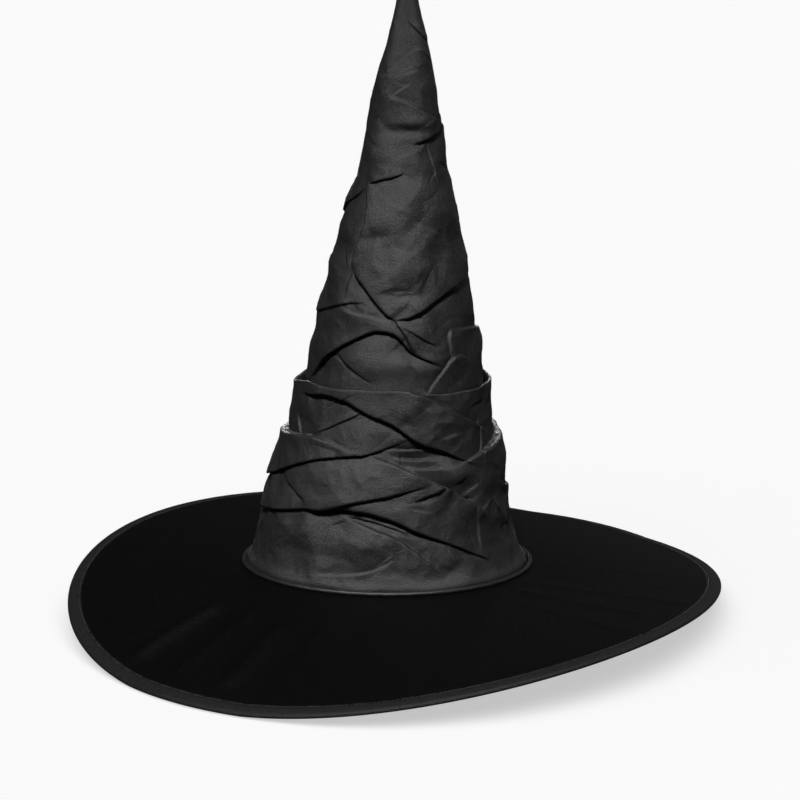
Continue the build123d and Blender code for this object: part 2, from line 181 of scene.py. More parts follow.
LOWER_BACK_FOLDS = (
    ("above", 2.2, 1.6, 13, 8, 0.2, 0.2,
     ((84, 66), (108, 60), (132, 52), (156, 47), (180, 50), (205, 56), (232, 50), (262, 44))),
    ("above", 2.2, 2.8, 13, 8, 0.2, 0.2,
     ((96, 128), (116, 124), (138, 116), (160, 118), (184, 126), (208, 122), (236, 112), (262, 116))),
    ("above", 1.8, 3.6, 12, 8, 0.3, 0.3,
     ((118, 84), (136, 76), (156, 78), (178, 70), (200, 58), (214, 46), (222, 34))),
    ("below", 1.4, 1.4, 12, 7, 0.3, 0.3, ((116, 30), (138, 42), (160, 60), (182, 80), (206, 90))),
    ("above", 1.0, 1.2, 7, 6, 0.3, 0.3, ((216, 90), (232, 78), (250, 72), (264, 60))),
    ("below", 0.9, 1.2, 6, 6, 0.3, 0.3, ((130, 12), (160, 16), (190, 12), (214, 20))),
    ("above", 0.9, 1.0, 6, 6, 0.3, 0.3, ((238, 34), (246, 22), (250, 10))),
)
UPPER_FOLDS = (
    ("above", 1.6, 3.6, 12, 9, 0.15, 0.25,
     ((-84, 134), (-74, 140), (-69, 147), (-61, 157), (-49, 167), (-35, 176), (-18, 184), (-5, 184),
      (2, 180), (10, 170), (18, 165), (29, 159), (38, 155))),
    ("above", 1.4, 1.8, 6, 5, 0.25, 0.3, ((-4, 194), (5, 183), (12, 171), (18, 165))),
    ("above", 0.9, 1.2, 4, 4, 0.3, 0.4, ((0, 190), (10, 184), (22, 176), (34, 171))),
    ("above", 2.2, 2.4, 13, 8, 0.25, 0.1, ((-46, 231), (-43, 227), (-28, 215), (-14, 202), (-2, 192))),
    ("above", 2.2, 2.4, 13, 8, 0.1, 0.3,
     ((-2, 192), (9, 195), (25, 203), (45, 212), (63, 217), (80, 221), (96, 222))),
    ("below", 1.9, 2.3, 8, 6, 0.1, 0.2, ((-44, 225), (-39, 245), (-36, 258), (-40, 272), (-51, 284))),
    ("below", 0.6, 0.8, 7, 5, 0.3, 0.3, ((6, 260), (25, 255), (40, 249), (59, 236), (76, 225))),
    ("above", 1.0, 1.5, 8, 6, 0.3, 0.3, ((-51, 167), (-37, 160), (-20, 150), (-8, 145))),
    ("below", 1.0, 1.5, 12, 7, 0.2, 0.3,
     ((41, 183), (58, 181), (75, 179), (91, 176), (118, 173), (146, 177), (166, 182))),
    ("above", 0.9, 1.2, 6, 5, 0.2, 0.2, ((43, 184), (39, 176), (40, 162), (41, 156))),
    ("below", 1.2, 1.7, 7, 6, 0.3, 0.3, ((16, 136), (20, 139), (28, 149), (40, 162), (47, 165))),
    ("below", 0.8, 1.0, 6, 6, 0.3, 0.3, ((42, 164), (50, 163), (58, 157))),
    ("above", 0.7, 0.9, 5, 5, 0.3, 0.3, ((9, 164), (15, 150), (20, 138))),
    ("above", 0.9, 1.2, 8, 6, 0.2, 0.3, ((-92, 188), (-79, 190), (-49, 199), (-35, 202), (-21, 201))),
    ("below", 0.7, 0.9, 6, 5, 0.3, 0.3, ((-50, 198), (-33, 194), (-21, 193), (-7, 190))),
    ("above", 0.5, 0.5, 5, 5, 0.3, 0.3, ((-42, 226), (-44, 213), (-43, 202))),
    ("above", 0.9, 1.5, 9, 7, 0.3, 0.25, ((-112, 256), (-96, 260), (-84, 266), (-66, 273), (-49, 281))),
    ("above", 1.1, 1.8, 9, 6, 0.2, 0.4, ((-47, 283), (-35, 286), (-24, 288), (2, 292))),
    ("below", 0.8, 0.7, 6, 7, 0.3, 0.3, ((-49, 280), (-60, 296), (-70, 310), (-84, 330))),
    ("below", 1.3, 1.4, 7, 6, 0.2, 0.2,
     ((-36, 345), (-24, 343), (8, 339), (34, 332), (77, 323), (104, 316))),
    ("above", 1.2, 1.2, 6, 6, 0.2, 0.3, ((10, 311), (36, 315), (54, 318), (79, 322))),
    ("below", 1.0, 1.1, 8, 6, 0.2, 0.3,
     ((-88, 350), (-72, 355), (-27, 365), (21, 376), (60, 372), (84, 368))),
    ("below", 0.6, 0.7, 6, 5, 0.3, 0.3, ((-72, 330), (-55, 335), (-10, 348), (14, 354))),
    ("above", 0.6, 0.7, 6, 5, 0.3, 0.3, ((-8, 396), (24, 390), (66, 382), (92, 378))),
    ("above", 0.4, 0.4, 5, 5, 0.3, 0.3, ((34, 316), (40, 300), (46, 280))),
    ("above", 0.5, 0.6, 8, 6, 0.3, 0.3, ((-62, 244), (-54, 232), (-46, 224))),
)
UPPER_BACK_FOLDS = (
    ("above", 1.5, 3.0, 12, 9, 0.2, 0.2,
     ((92, 150), (112, 160), (134, 172), (158, 180), (176, 176), (194, 164), (216, 156), (240, 150))),
    ("above", 1.8, 2.2, 12, 8, 0.2, 0.2,
     ((104, 226), (124, 214), (146, 200), (166, 204), (188, 214), (212, 222), (236, 218), (258, 208))),
    ("below", 1.0, 1.3, 9, 6, 0.3, 0.3, ((150, 206), (144, 226), (142, 246), (150, 268))),
    ("above", 1.2, 1.6, 9, 7, 0.2, 0.2, ((240, 256), (214, 262), (190, 272), (168, 282), (150, 288))),
    ("above", 1.0, 1.3, 8, 6, 0.3, 0.3, ((196, 188), (214, 194), (238, 190), (258, 186))),
    ("below", 1.1, 1.2, 7, 6, 0.2, 0.3, ((100, 318), (130, 326), (166, 338), (204, 336), (236, 328))),
    ("below", 0.9, 1.0, 8, 6, 0.3, 0.3, ((112, 360), (150, 368), (196, 360), (232, 354))),
    ("below", 0.8, 1.0, 7, 6, 0.3, 0.3, ((196, 240), (214, 248), (238, 244), (254, 234))),
)
FOLD_GAIN = 1.12
DENT_GAIN = 1.15
# Crisp crumpling of the cloth: direction of the creases in degrees, spacing, size, seed
CRUMPLES = ((28.0, 21.0, 1.25, 31), (-38.0, 18.0, 1.1, 32), (78.0, 24.0, 1.0, 33), (8.0, 15.0, 0.7, 34))
# Short creases: seed, count, lowest and highest height, shortest and longest length
LOWER_CREASES = (12, 90, 6.0, 134.0, 14.0, 46.0)
UPPER_CREASES = (29, 90, 150.0, 400.0, 12.0, 44.0)
# Drag lines of the brim: bearing, lean, half width, start, end, height
BRIM_PULLS = (
    (212, 3, 2.9, 0.3, 0.83, 3.2), (237, 1, 3.0, 0.3, 0.82, 1.8), (250, -3, 2.2, 0.3, 0.8, 0.8),
    (224, 3, 2.6, 0.2, 0.8, 1.2), (198, -3, 3.0, 0.25, 0.8, 1.0), (263, 2, 3.0, 0.05, 0.5, 0.9),
    (312, 5, 2.0, 0.1, 0.9, 0.5), (322, 4, 1.8, 0.08, 0.8, 0.6), (332, 4, 1.8, 0.1, 0.9, 0.6),
    (342, 3, 1.8, 0.06, 0.85, 0.6), (352, 3, 1.9, 0.1, 0.85, 0.5), (4, 2, 1.9, 0.1, 0.8, 0.5),
    (22, 1, 2.2, 0.1, 0.7, 0.4), (60, -2, 2.5, 0.1, 0.8, 0.5), (96, 3, 2.6, 0.1, 0.7, 0.5),
    (128, -3, 2.5, 0.1, 0.8, 0.5), (160, 2, 2.6, 0.1, 0.8, 0.5), (286, 3, 2.4, 0.15, 0.6, 0.4),
)
# Soft dents and swells: angle, height, half width, half height, slant in degrees, depth
LOWER_DENTS = (
    (11, 95, 24, 9, -10, -3.2), (-24, 83, 20, 10, 12, 1.4), (-10, 30, 26, 14, 18, 1.6),
    (-66, 66, 12, 10, -50, -1.6), (34, 84, 12, 7, -20, 1.2), (-36, 120, 16, 8, 10, -1.2),
    (12, 128, 22, 9, -14, 1.2), (30, 50, 12, 12, -60, -1.2), (60, 36, 12, 20, 80, -1.0),
    (-58, 30, 14, 16, 70, 1.0), (76, 84, 10, 14, 60, 1.2), (100, 30, 22, 16, 20, 1.0),
    (150, 74, 20, 12, -16, 1.4), (200, 84, 20, 10, 14, -1.4), (240, 64, 18, 12, -10, 1.3),
    (176, 30, 24, 12, 10, -1.0), (215, 28, 18, 12, 20, 1.2), (120, 108, 18, 10, 10, 1.1),
)
UPPER_DENTS = (
    (-22, 248, 12, 4, 14, -1.1), (2, 209, 18, 3.5, -4, -1.3), (6, 228, 22, 12, 6, 0.9),
    (-8, 160, 20, 12, 8, 1.8), (0, 320, 16, 3.5, 2, -1.6), (20, 326, 10, 4, -8, 1.0),
    (2, 270, 20, 14, 0, 1.0), (-60, 215, 12, 16, 70, 0.9), (58, 198, 14, 10, 10, 0.9),
    (-54, 150, 14, 8, 30, -1.2), (62, 168, 10, 8, 20, -0.9), (-30, 305, 9, 16, 80, 0.8),
    (-6, 360, 12, 8, 20, 0.7), (-60, 236, 9, 12, 60, -0.8), (30, 236, 12, 8, -20, -0.9),
    (150, 190, 20, 12, 10, 1.5), (200, 236, 14, 14, 10, 1.2), (176, 250, 12, 8, 10, -1.2),
    (226, 172, 16, 10, -10, 1.2), (186, 310, 14, 10, 10, 0.8), (120, 246, 14, 12, 0, 0.9),
)


# ---- shapes in numbers -------------------------------------------------------------------

# Stage values: floor glow, surround, lamps (azimuth, elevation, strength, spread, what it lights)
FLOOR_GLOW = 0.535
FLOOR_BOUNCE = 0.03
SURROUND_STRENGTH = 0.05
LAMPS = (
    ("overhead_lamp", -35.0, 78.0, 2.34, 95.0, "floor_only"),
    ("front_lamp", -9.0, 50.0, 5.0, 9.0, "hat_only"),
    ("back_lamp", 140.0, 20.0, 0.12, 60.0, "hat_only"),
    ("rear_lamp", 180.0, 24.0, 1.7, 20.0, "crown_only"),
    ("under_lamp", 168.0, -52.0, 4.0, 30.0, "inside_only"),
)
CROWN_PIECES = ("crown_lower_folds", "crown_upper_folds")
INSIDE_PIECES = (
    "brim_under_satin", "sweatband_twill", "sweatband_stitches", "blank_label",
    "crown_lower_interlining", "crown_upper_interlining", "seam_tape_low", "seam_tape_high",
) + CROWN_PIECES
CAMERA_DISTANCE = 1.8
CAMERA_ELEVATION = 18.286
CAMERA_PITCH = -3.768
CAMERA_YAW = -0.450
CAMERA_ROLL = -2.263
CAMERA_LENS = 109.9


def smooth_step(t):
    """Eased 0 to 1."""
    t = np.clip(t, 0.0, 1.0)
    return t * t * (3 - 2 * t)


def eased_outline(outline, height):
    """Half length, breadth ratio and shift at a height, eased between the stations."""
    heights = outline[:, 0]
    result = []
    for column in (1, 2, 3):
        values = outline[:, column]
        slopes = np.gradient(values, heights)
        index = np.clip(np.searchsorted(heights, height) - 1, 0, len(heights) - 2)
        span = heights[index + 1] - heights[index]
        t = np.clip((height - heights[index]) / span, 0.0, 1.0)
        t2, t3 = t * t, t * t * t
        result.append(
            (2 * t3 - 3 * t2 + 1) * values[index]
            + (t3 - 2 * t2 + t) * span * slopes[index]
            + (3 * t2 - 2 * t3) * values[index + 1]
            + (t3 - t2) * span * slopes[index + 1]
        )
    return result


def seat_to_frame(points):
    """Points above the seat, in millimetres, to the frame in metres."""
    x, y, h = points[:, 0], points[:, 1], points[:, 2]
    c, s = math.cos(SEAT_TILT), math.sin(SEAT_TILT)
    out = np.stack((SEAT[0] + x * c + h * s, SEAT[1] + y, SEAT[2] - x * s + h * c), axis=1)
    return out * MM


def opening_radius(theta):
    """Radius of the oval head opening in a direction."""
    a, b = OPENING
    return a * b / np.sqrt((b * np.cos(theta)) ** 2 + (a * np.sin(theta)) ** 2)


def brim_points(theta, share, lift):
    """Points of the brim in millimetres, share 0 at the opening to 1 at the rim."""
    inner = opening_radius(theta)
    start = np.stack((SEAT[0] + inner * np.cos(theta), SEAT[1] + inner * np.sin(theta)), axis=-1)
    start_z = SEAT[2] - math.tan(SEAT_TILT) * (start[..., 0] - SEAT[0]) - HALF_STACK
    rim = RIM_MEAN_HEIGHT
    for order, (even, odd) in enumerate(RIM_WAVES, start=1):
        rim = rim + even * np.cos(order * theta) + odd * np.sin(order * theta)
    rim = np.maximum(rim, 0.0) + HALF_BINDING - RIM_SETTLE
    outer = inner + np.sqrt((BRIM_RADIUS - inner) ** 2 - (start_z - rim) ** 2)
    end_x = SEAT[0] + RIM_OFFSET[0] + outer * np.cos(theta)
    end_y = SEAT[1] + RIM_OFFSET[1] + outer * np.sin(theta)
    fall = np.maximum(share, 0.0) ** BRIM_ROLL_POWER
    return np.stack(
        (
            start[..., 0] + (end_x - start[..., 0]) * share,
            start[..., 1] + (end_y - start[..., 1]) * share,
            start_z + (rim - start_z) * fall + lift,
        ),
        axis=-1,
    )


def rim_share(theta, inset):
    """Share of the brim's width that lies a set distance in from the rim."""
    return 1 - inset / (BRIM_RADIUS - opening_radius(theta))


def opening_share(theta, outset):
    """Share of the brim's width that lies a set distance out from the opening."""
    return outset / (BRIM_RADIUS - opening_radius(theta))


def smooth_line(points, steps=7):
    """A smooth line through points, by Catmull-Rom."""
    p = np.array(points, float)
    p = np.vstack((2 * p[0] - p[1], p, 2 * p[-1] - p[-2]))
    out = []
    for i in range(1, len(p) - 2):
        t = np.linspace(0, 1, steps, endpoint=False)[:, None]
        out.append(
            0.5
            * (
                2 * p[i]
                + (p[i + 1] - p[i - 1]) * t
                + (2 * p[i - 1] - 5 * p[i] + 4 * p[i + 1] - p[i + 2]) * t * t
                + (3 * p[i] - p[i - 1] - 3 * p[i + 1] + p[i + 2]) * t**3
            )
        )
    out.append(p[-2][None])
    return np.vstack(out)


def wrapped(angle):
    """Angle in degrees brought to -180..180."""
    return (angle + 180.0) % 360.0 - 180.0


def fold_field(angle, height, outline, fold):
    """Height of one fold's swell over the surface, and how far its edge slips over."""
    side, lift, drop, over, under, fade_in, fade_out, points = fold
    line = smooth_line(points)
    steps = np.diff(line, axis=0)
    length = np.concatenate(((0,), np.cumsum(np.hypot(steps[:, 0], steps[:, 1]))))
    length /= length[-1]
    reach = 3.5 * max(over, under)
    half_length, ratio, _ = eased_outline(outline, np.array([line[:, 1].mean()]))
    per_degree = float(half_length[0] * (1 + ratio[0]) / 2) * math.pi / 180
    middle = (line[:, 0].min() + line[:, 0].max()) / 2
    half_span = (line[:, 0].max() - line[:, 0].min()) / 2
    near = (np.abs(wrapped(angle - middle)) < half_span + reach / per_degree) & (
        height > line[:, 1].min() - reach
    ) & (height < line[:, 1].max() + reach)
    swell = np.zeros(angle.shape)
    slip = np.zeros(angle.shape + (2,))
    index = np.nonzero(near)
    if not len(index[0]):
        return swell, slip
    a, h = angle[index], height[index]
    best = np.full(a.shape, 1e9)
    signed = np.zeros(a.shape)
    along = np.zeros(a.shape)
    way = np.zeros(a.shape + (2,))
    for i in range(len(line) - 1):
        mid = (line[i] + line[i + 1]) / 2
        dx = wrapped(a - mid[0]) * per_degree
        dy = h - mid[1]
        hx = (line[i + 1, 0] - line[i, 0]) / 2 * per_degree
        hy = (line[i + 1, 1] - line[i, 1]) / 2
        t = np.clip((dx * hx + dy * hy) / (hx * hx + hy * hy), -1, 1)
        ox, oy = dx - t * hx, dy - t * hy
        d = np.hypot(ox, oy)
        closer = d < best
        best[closer] = d[closer]
        cross = hx * dy - hy * dx
        signed[closer] = (np.sign(cross) * d)[closer]
        along[closer] = (length[i] + (t + 1) / 2 * (length[i + 1] - length[i]))[closer]
        norm = math.hypot(hx, hy)
        way[closer] = (-hy / norm, hx / norm)
    if side == "below":
        signed, way = -signed, -way
    strength = smooth_step(along / fade_in) * smooth_step((1 - along) / fade_out)
    edge = smooth_step((signed + 0.5) / 1.0)
    raised = FOLD_GAIN * lift * np.exp(-np.maximum(signed, 0) / over)
    sunk = -FOLD_GAIN * drop * np.exp(-np.maximum(-signed, 0) / under)
    swell[index] = strength * (edge * raised + (1 - edge) * sunk)
    amount = 0.38 * FOLD_GAIN * (lift + drop) * np.exp(-((signed / 2.6) ** 2)) * edge * strength
    slip[index] = -way * amount[:, None]
    return swell, slip


def dent_field(angle, height, outline, dent):
    """A soft dent or swell."""
    centre, level, half_width, half_height, slant, depth = dent
    half_length, ratio, _ = eased_outline(outline, np.array([float(level)]))
    per_degree = float(half_length[0] * (1 + ratio[0]) / 2) * math.pi / 180
    dx = wrapped(angle - centre) * per_degree
    dy = height - level
    c, s = math.cos(math.radians(slant)), math.sin(math.radians(slant))
    u, v = dx * c + dy * s, -dx * s + dy * c
    return depth * np.exp(-((u / half_width) ** 2) - (v / half_height) ** 2)


def short_creases(outline, seed, count, low, high, shortest, longest):
    """Seeded short creases, mostly slanting, in the same form as the folds."""
    chance = np.random.default_rng(seed)
    made = []
    for _ in range(count):
        level = chance.uniform(low, high)
        half_length, ratio, _ = eased_outline(outline, np.array([level]))
        radius = float(half_length[0] * (1 + ratio[0]) / 2)
        length = min(chance.uniform(shortest, longest), 1.1 * radius)
        slant = math.radians(chance.choice((-1, 1)) * chance.normal(34, 20))
        bow = chance.uniform(-0.16, 0.16) * length
        centre = chance.uniform(-180, 180)
        points = []
        for t in (-0.5, -0.17, 0.17, 0.5):
            along, off = t * length, bow * (1 - 4 * t * t)
            side = along * math.cos(slant) - off * math.sin(slant)
            rise = along * math.sin(slant) + off * math.cos(slant)
            points.append((centre + math.degrees(side / radius), level + rise))
        size = chance.uniform(0.12, 0.42) * min(1.0, 0.4 + radius / 70)
        made.append(
            (chance.choice(("above", "below")), size, size * chance.uniform(0.8, 1.6),
             chance.uniform(7, 14), chance.uniform(4, 8), 0.5, 0.5, points)
        )
    return tuple(made)


def ruffle(points, size, seed):
    """Smooth noise at points, in millimetres, for fine wrinkles."""
    shift = Vector((seed * 17.3, seed * 5.1, seed * 9.7))
    return np.array([noise.noise(Vector(p) / size + shift) for p in points])


def crown_surface(angle, height, outline, folds, dents, wrinkle, calm=None, inset=0.0):
    """Cloth points for angles and heights, with its folds, dents and fine wrinkles."""
    swell = np.zeros(angle.shape)
    slip = np.zeros(angle.shape + (2,))
    for fold in folds:
        field, moved = fold_field(angle, height, outline, fold)
        swell += field
        slip += moved
    for dent in dents:
        swell += DENT_GAIN * dent_field(angle, height, outline, dent)
    half_length, ratio, shift = eased_outline(outline, height)
    per_degree = half_length * (1 + ratio) / 2 * math.pi / 180
    swell += seam_pinch(wrapped(angle), height, per_degree)
    if wrinkle:
        phi = np.radians(angle)
        spots = np.stack((half_length * np.sin(phi), half_length * np.cos(phi), height), axis=-1)
        flat = spots.reshape(-1, 3)
        broad = ruffle(flat * np.array((1.0, 1.0, 1.5)), 27.0, 1)
        one_way = flat @ np.array(((1.0, 0.0, 0.45), (0.0, 1.0, 0.3), (-0.62, 0.2, 1.0)))
        other_way = flat @ np.array(((1.0, 0.0, -0.5), (0.0, 1.0, 0.2), (0.7, -0.2, 0.9)))
        ridges = 0.55 - 2.2 * np.abs(ruffle(one_way, 19.0, 2))
        crossed = 0.55 - 2.2 * np.abs(ruffle(other_way, 13.0, 4))
        small = 0.5 - 2.0 * np.abs(ruffle(flat, 6.5, 3))
        mask = np.clip(0.5 + 1.6 * ruffle(flat, 34.0, 7), 0.0, 1.0)
        round_way = phi.reshape(-1) * np.broadcast_to(half_length, angle.shape).reshape(-1)
        wrinkles = 0.4 * broad + 0.4 * ridges * mask + 0.3 * crossed * (1 - mask) + 0.05 * small
        for turn, spacing, size, seed in CRUMPLES:
            lean = math.radians(turn)
            across = flat[:, 2] * math.cos(lean) + round_way * math.sin(lean)
            steps = (across + 9.0 * ruffle(flat, 40.0, seed)) / spacing
            crest = np.abs(steps - 2 * np.floor(steps / 2) - 1) - 0.5
            patch = np.clip(2.4 * ruffle(flat, 36.0, seed + 20) + 0.25, 0.0, 1.0)
            wrinkles = wrinkles + size * crest * patch
        fade = np.minimum(1.0, half_length / 38.0)
        swell += wrinkle * wrinkles.reshape(angle.shape) * fade
    if calm is not None:
        outward, inward = calm
        swell = np.where(swell > 0, swell * outward, swell * inward)
        slip *= inward[..., None]
    angle = angle + slip[..., 0] / np.maximum(per_degree, 0.05)
    height = height + slip[..., 1]
    phi = np.radians(angle)
    reach = half_length - inset + swell
    across = half_length * ratio - inset + swell
    reach = np.maximum(reach, 0.3)
    across = np.maximum(across, 0.3)
    x = shift + reach * np.sin(phi)
    y = -across * np.cos(phi)
    return np.stack((x, y, height), axis=-1)


def grid_mesh(name, points, closed=True, uv=None, cap=None):
    """A mesh from a grid of points, rows by columns, closed round its columns."""
    rows, columns = points.shape[:2]
    verts = points.reshape(-1, 3)
    r = np.arange(rows - 1)[:, None]
    c = np.arange(columns if closed else columns - 1)[None, :]
    n = (c + 1) % columns
    quads = np.stack(
        (r * columns + c, r * columns + n, (r + 1) * columns + n, (r + 1) * columns + c), axis=-1
    ).reshape(-1, 4)
    faces = quads.tolist()
    verts = verts.tolist()
    if cap is not None:
        last = (rows - 1) * columns
        verts.append(list(cap))
        faces += [(last + i, last + i + 1, len(verts) - 1) for i in range(columns - 1)]
    mesh = bpy.data.meshes.new(name)
    mesh.from_pydata(verts, [], faces)
    if uv is not None:
        layer = mesh.uv_layers.new(name="cloth")
        u, v = uv
        corner_u = np.broadcast_to(np.arange(c.size)[None, :], (rows - 1, c.size))
        corners = np.empty((rows - 1, c.size, 4, 2))
        for k, (dr, dc) in enumerate(((0, 0), (0, 1), (1, 1), (1, 0))):
            corners[..., k, 0] = (corner_u + dc) * u
            corners[..., k, 1] = v[np.arange(rows - 1)[:, None] + dr]
        flat = corners.reshape(-1, 2)
        whole = np.zeros((len(mesh.loops), 2))
        whole[: len(flat)] = flat
        whole[len(flat):] = flat[-1]
        layer.data.foreach_set("uv", whole.ravel())
    mesh.polygons.foreach_set("use_smooth", [True] * len(mesh.polygons))
    mesh.validate()
    mesh.update()
    piece = bpy.data.objects.new(name, mesh)
    bpy.context.scene.collection.objects.link(piece)
    return piece


def relax(points, rounds, share):
    """Evens out a grid whose last column meets its first, keeping its first and last rows."""
    for _ in range(rounds):
        body = points[:, :-1]
        around = (np.roll(body, 1, axis=1) + np.roll(body, -1, axis=1)) / 2
        around = np.concatenate((around, around[:, :1]), axis=1)
        inner = points.copy()
        inner[1:-1] = (points[:-2] + points[2:]) / 2
        mean = (around + inner) / 2
        mean[0], mean[-1] = points[0], points[-1]
        points = points + (mean - points) * share
    return points


def tube_along(name, line, radius, sides):
    """A tube that follows a closed line of points in metres."""
    line = np.asarray(line)
    ahead = np.roll(line, -1, axis=0) - np.roll(line, 1, axis=0)
    ahead /= np.linalg.norm(ahead, axis=1)[:, None]
    up = np.array((0.0, 0.0, 1.0))
    across = np.cross(ahead, up)
    across /= np.linalg.norm(across, axis=1)[:, None]
    above = np.cross(across, ahead)
    turn = np.linspace(0, TURN, sides, endpoint=False)
    rings = (
        line[:, None, :]
        + radius * np.cos(turn)[None, :, None] * across[:, None, :]
        + radius * np.sin(turn)[None, :, None] * above[:, None, :]
    )
    rings = np.concatenate((rings, rings[:1]), axis=0)
    return grid_mesh(name, rings)


def stitches(name, line, pitch, length, radius, height):
    """Separate stitches laid along a closed line of points in metres."""
    line = np.asarray(line)
    seg = np.linalg.norm(np.roll(line, -1, axis=0) - line, axis=1)
    total = seg.sum()
    count = int(total / pitch)
    along = np.concatenate(((0,), np.cumsum(seg)))
    loop = np.vstack((line, line[:1]))
    rings, sides = 7, 8
    verts, faces = [], []
    for k in range(count):
        start = k * total / count
        t = np.linspace(0, 1, rings)
        at = (start + t * length) % total
        centre = np.stack([np.interp(at, along, loop[:, i]) for i in range(3)], axis=1)
        arch = np.sin(t * math.pi)
        centre[:, 2] += height * (arch**0.5 - 0.6)
        ahead = centre[-1] - centre[0]
        ahead /= np.linalg.norm(ahead)
        across = np.cross(ahead, (0, 0, 1.0))
        across /= np.linalg.norm(across)
        above = np.cross(across, ahead)
        base = len(verts)
        for i in range(rings):
            r = radius * (0.35 + 0.65 * arch[i] ** 0.4)
            for j in range(sides):
                a = TURN * j / sides
                verts.append(tuple(centre[i] + r * (math.cos(a) * across + math.sin(a) * above)))
        for i in range(rings - 1):
            for j in range(sides):
                n = (j + 1) % sides
                faces.append(
                    (base + i * sides + j, base + i * sides + n, base + (i + 1) * sides + n,
                     base + (i + 1) * sides + j)
                )
        faces.append(tuple(base + j for j in reversed(range(sides))))
        faces.append(tuple(base + (rings - 1) * sides + j for j in range(sides)))
    mesh = bpy.data.meshes.new(name)
    mesh.from_pydata(verts, [], faces)
    mesh.polygons.foreach_set("use_smooth", [True] * len(mesh.polygons))
    mesh.update()
    piece = bpy.data.objects.new(name, mesh)
    bpy.context.scene.collection.objects.link(piece)
    return piece


# ---- materials -----------------------------------------------------------------------------


def new_group(name, inputs, outputs):
    """An empty shader node group with named sockets."""
    group = bpy.data.node_groups.new(name, "ShaderNodeTree")
    for socket, kind, value in inputs:
        made = group.interface.new_socket(socket, in_out="INPUT", socket_type=kind)
        if value is not None:
            made.default_value = value
    for socket, kind in outputs:
        group.interface.new_socket(socket, in_out="OUTPUT", socket_type=kind)
    return group, group.nodes.new("NodeGroupInput"), group.nodes.new("NodeGroupOutput")


def add_math(group, operation, first, second=None, clamp=False):
    """A math node fed by sockets or numbers; returns its output."""
    node = group.nodes.new("ShaderNodeMath")
    node.operation = operation
    node.use_clamp = clamp
    for slot, value in enumerate((first, second)):
        if value is None:
            continue
        if isinstance(value, (int, float)):
            node.inputs[slot].default_value = value
        else:
            group.links.new(value, node.inputs[slot])
    return node.outputs[0]


def weave_group():
    """Over and under threads, with slubs and uneven yarn, from the cloth's own flat map."""
    if "Woven Threads" in bpy.data.node_groups:
        return bpy.data.node_groups["Woven Threads"]
    group, given, out = new_group(
        "Woven Threads",
        (
            ("Threads per Metre", "NodeSocketFloat", 2200.0),
            ("Slub Size", "NodeSocketFloat", 60.0),
        ),
        (("Height", "NodeSocketFloat"), ("Yarn Mask", "NodeSocketFloat")),
    )
    nodes, links = group.nodes, group.links
    flat = nodes.new("ShaderNodeTexCoord")
    split = nodes.new("ShaderNodeSeparateXYZ")
    links.new(flat.outputs["UV"], split.inputs[0])
    phase = [
        add_math(group, "MULTIPLY", split.outputs[axis], given.outputs["Threads per Metre"])
        for axis in (0, 1)
    ]
    waves = [add_math(group, "SINE", add_math(group, "MULTIPLY", p, math.pi)) for p in phase]
    over = add_math(group, "MULTIPLY", waves[0], waves[1])
    slub = nodes.new("ShaderNodeTexNoise")
    slub.inputs["Detail"].default_value = 3.0
    stretch = nodes.new("ShaderNodeMapping")
    stretch.inputs["Scale"].default_value = (0.12, 1.0, 1.0)
    links.new(flat.outputs["UV"], stretch.inputs["Vector"])
    links.new(stretch.outputs["Vector"], slub.inputs["Vector"])
    links.new(
        add_math(group, "MULTIPLY", given.outputs["Slub Size"], 40.0), slub.inputs["Scale"]
    )
    height = add_math(
        group, "ADD", add_math(group, "MULTIPLY", over, 0.35), slub.outputs["Fac"]
    )
    links.new(height, out.inputs["Height"])
    links.new(slub.outputs["Fac"], out.inputs["Yarn Mask"])
    return group


def grain_group():
    """Fine cloth grain and broad shade changes through the piece, from its own place."""
    if "Cloth Grain" in bpy.data.node_groups:
        return bpy.data.node_groups["Cloth Grain"]
    group, given, out = new_group(
        "Cloth Grain",
        (
            ("Grain Scale", "NodeSocketFloat", 900.0),
            ("Patch Scale", "NodeSocketFloat", 22.0),
        ),
        (
            ("Grain", "NodeSocketFloat"),
            ("Patches", "NodeSocketFloat"),
            ("Speckle", "NodeSocketFloat"),
        ),
    )
    nodes, links = group.nodes, group.links
    place = nodes.new("ShaderNodeTexCoord")
    for name, detail, socket in (("Grain", 4.0, "Grain Scale"), ("Patches", 3.0, "Patch Scale")):
        speckle = nodes.new("ShaderNodeTexNoise")
        speckle.inputs["Detail"].default_value = detail
        speckle.inputs["Roughness"].default_value = 0.6
        links.new(place.outputs["Object"], speckle.inputs["Vector"])
        links.new(given.outputs[socket], speckle.inputs["Scale"])
        links.new(speckle.outputs["Fac"], out.inputs[name])
        if name == "Grain":
            contrast = nodes.new("ShaderNodeMapRange")
            contrast.inputs["From Min"].default_value = 0.42
            contrast.inputs["From Max"].default_value = 0.66
            links.new(speckle.outputs["Fac"], contrast.inputs["Value"])
            links.new(contrast.outputs["Result"], out.inputs["Speckle"])
    return group


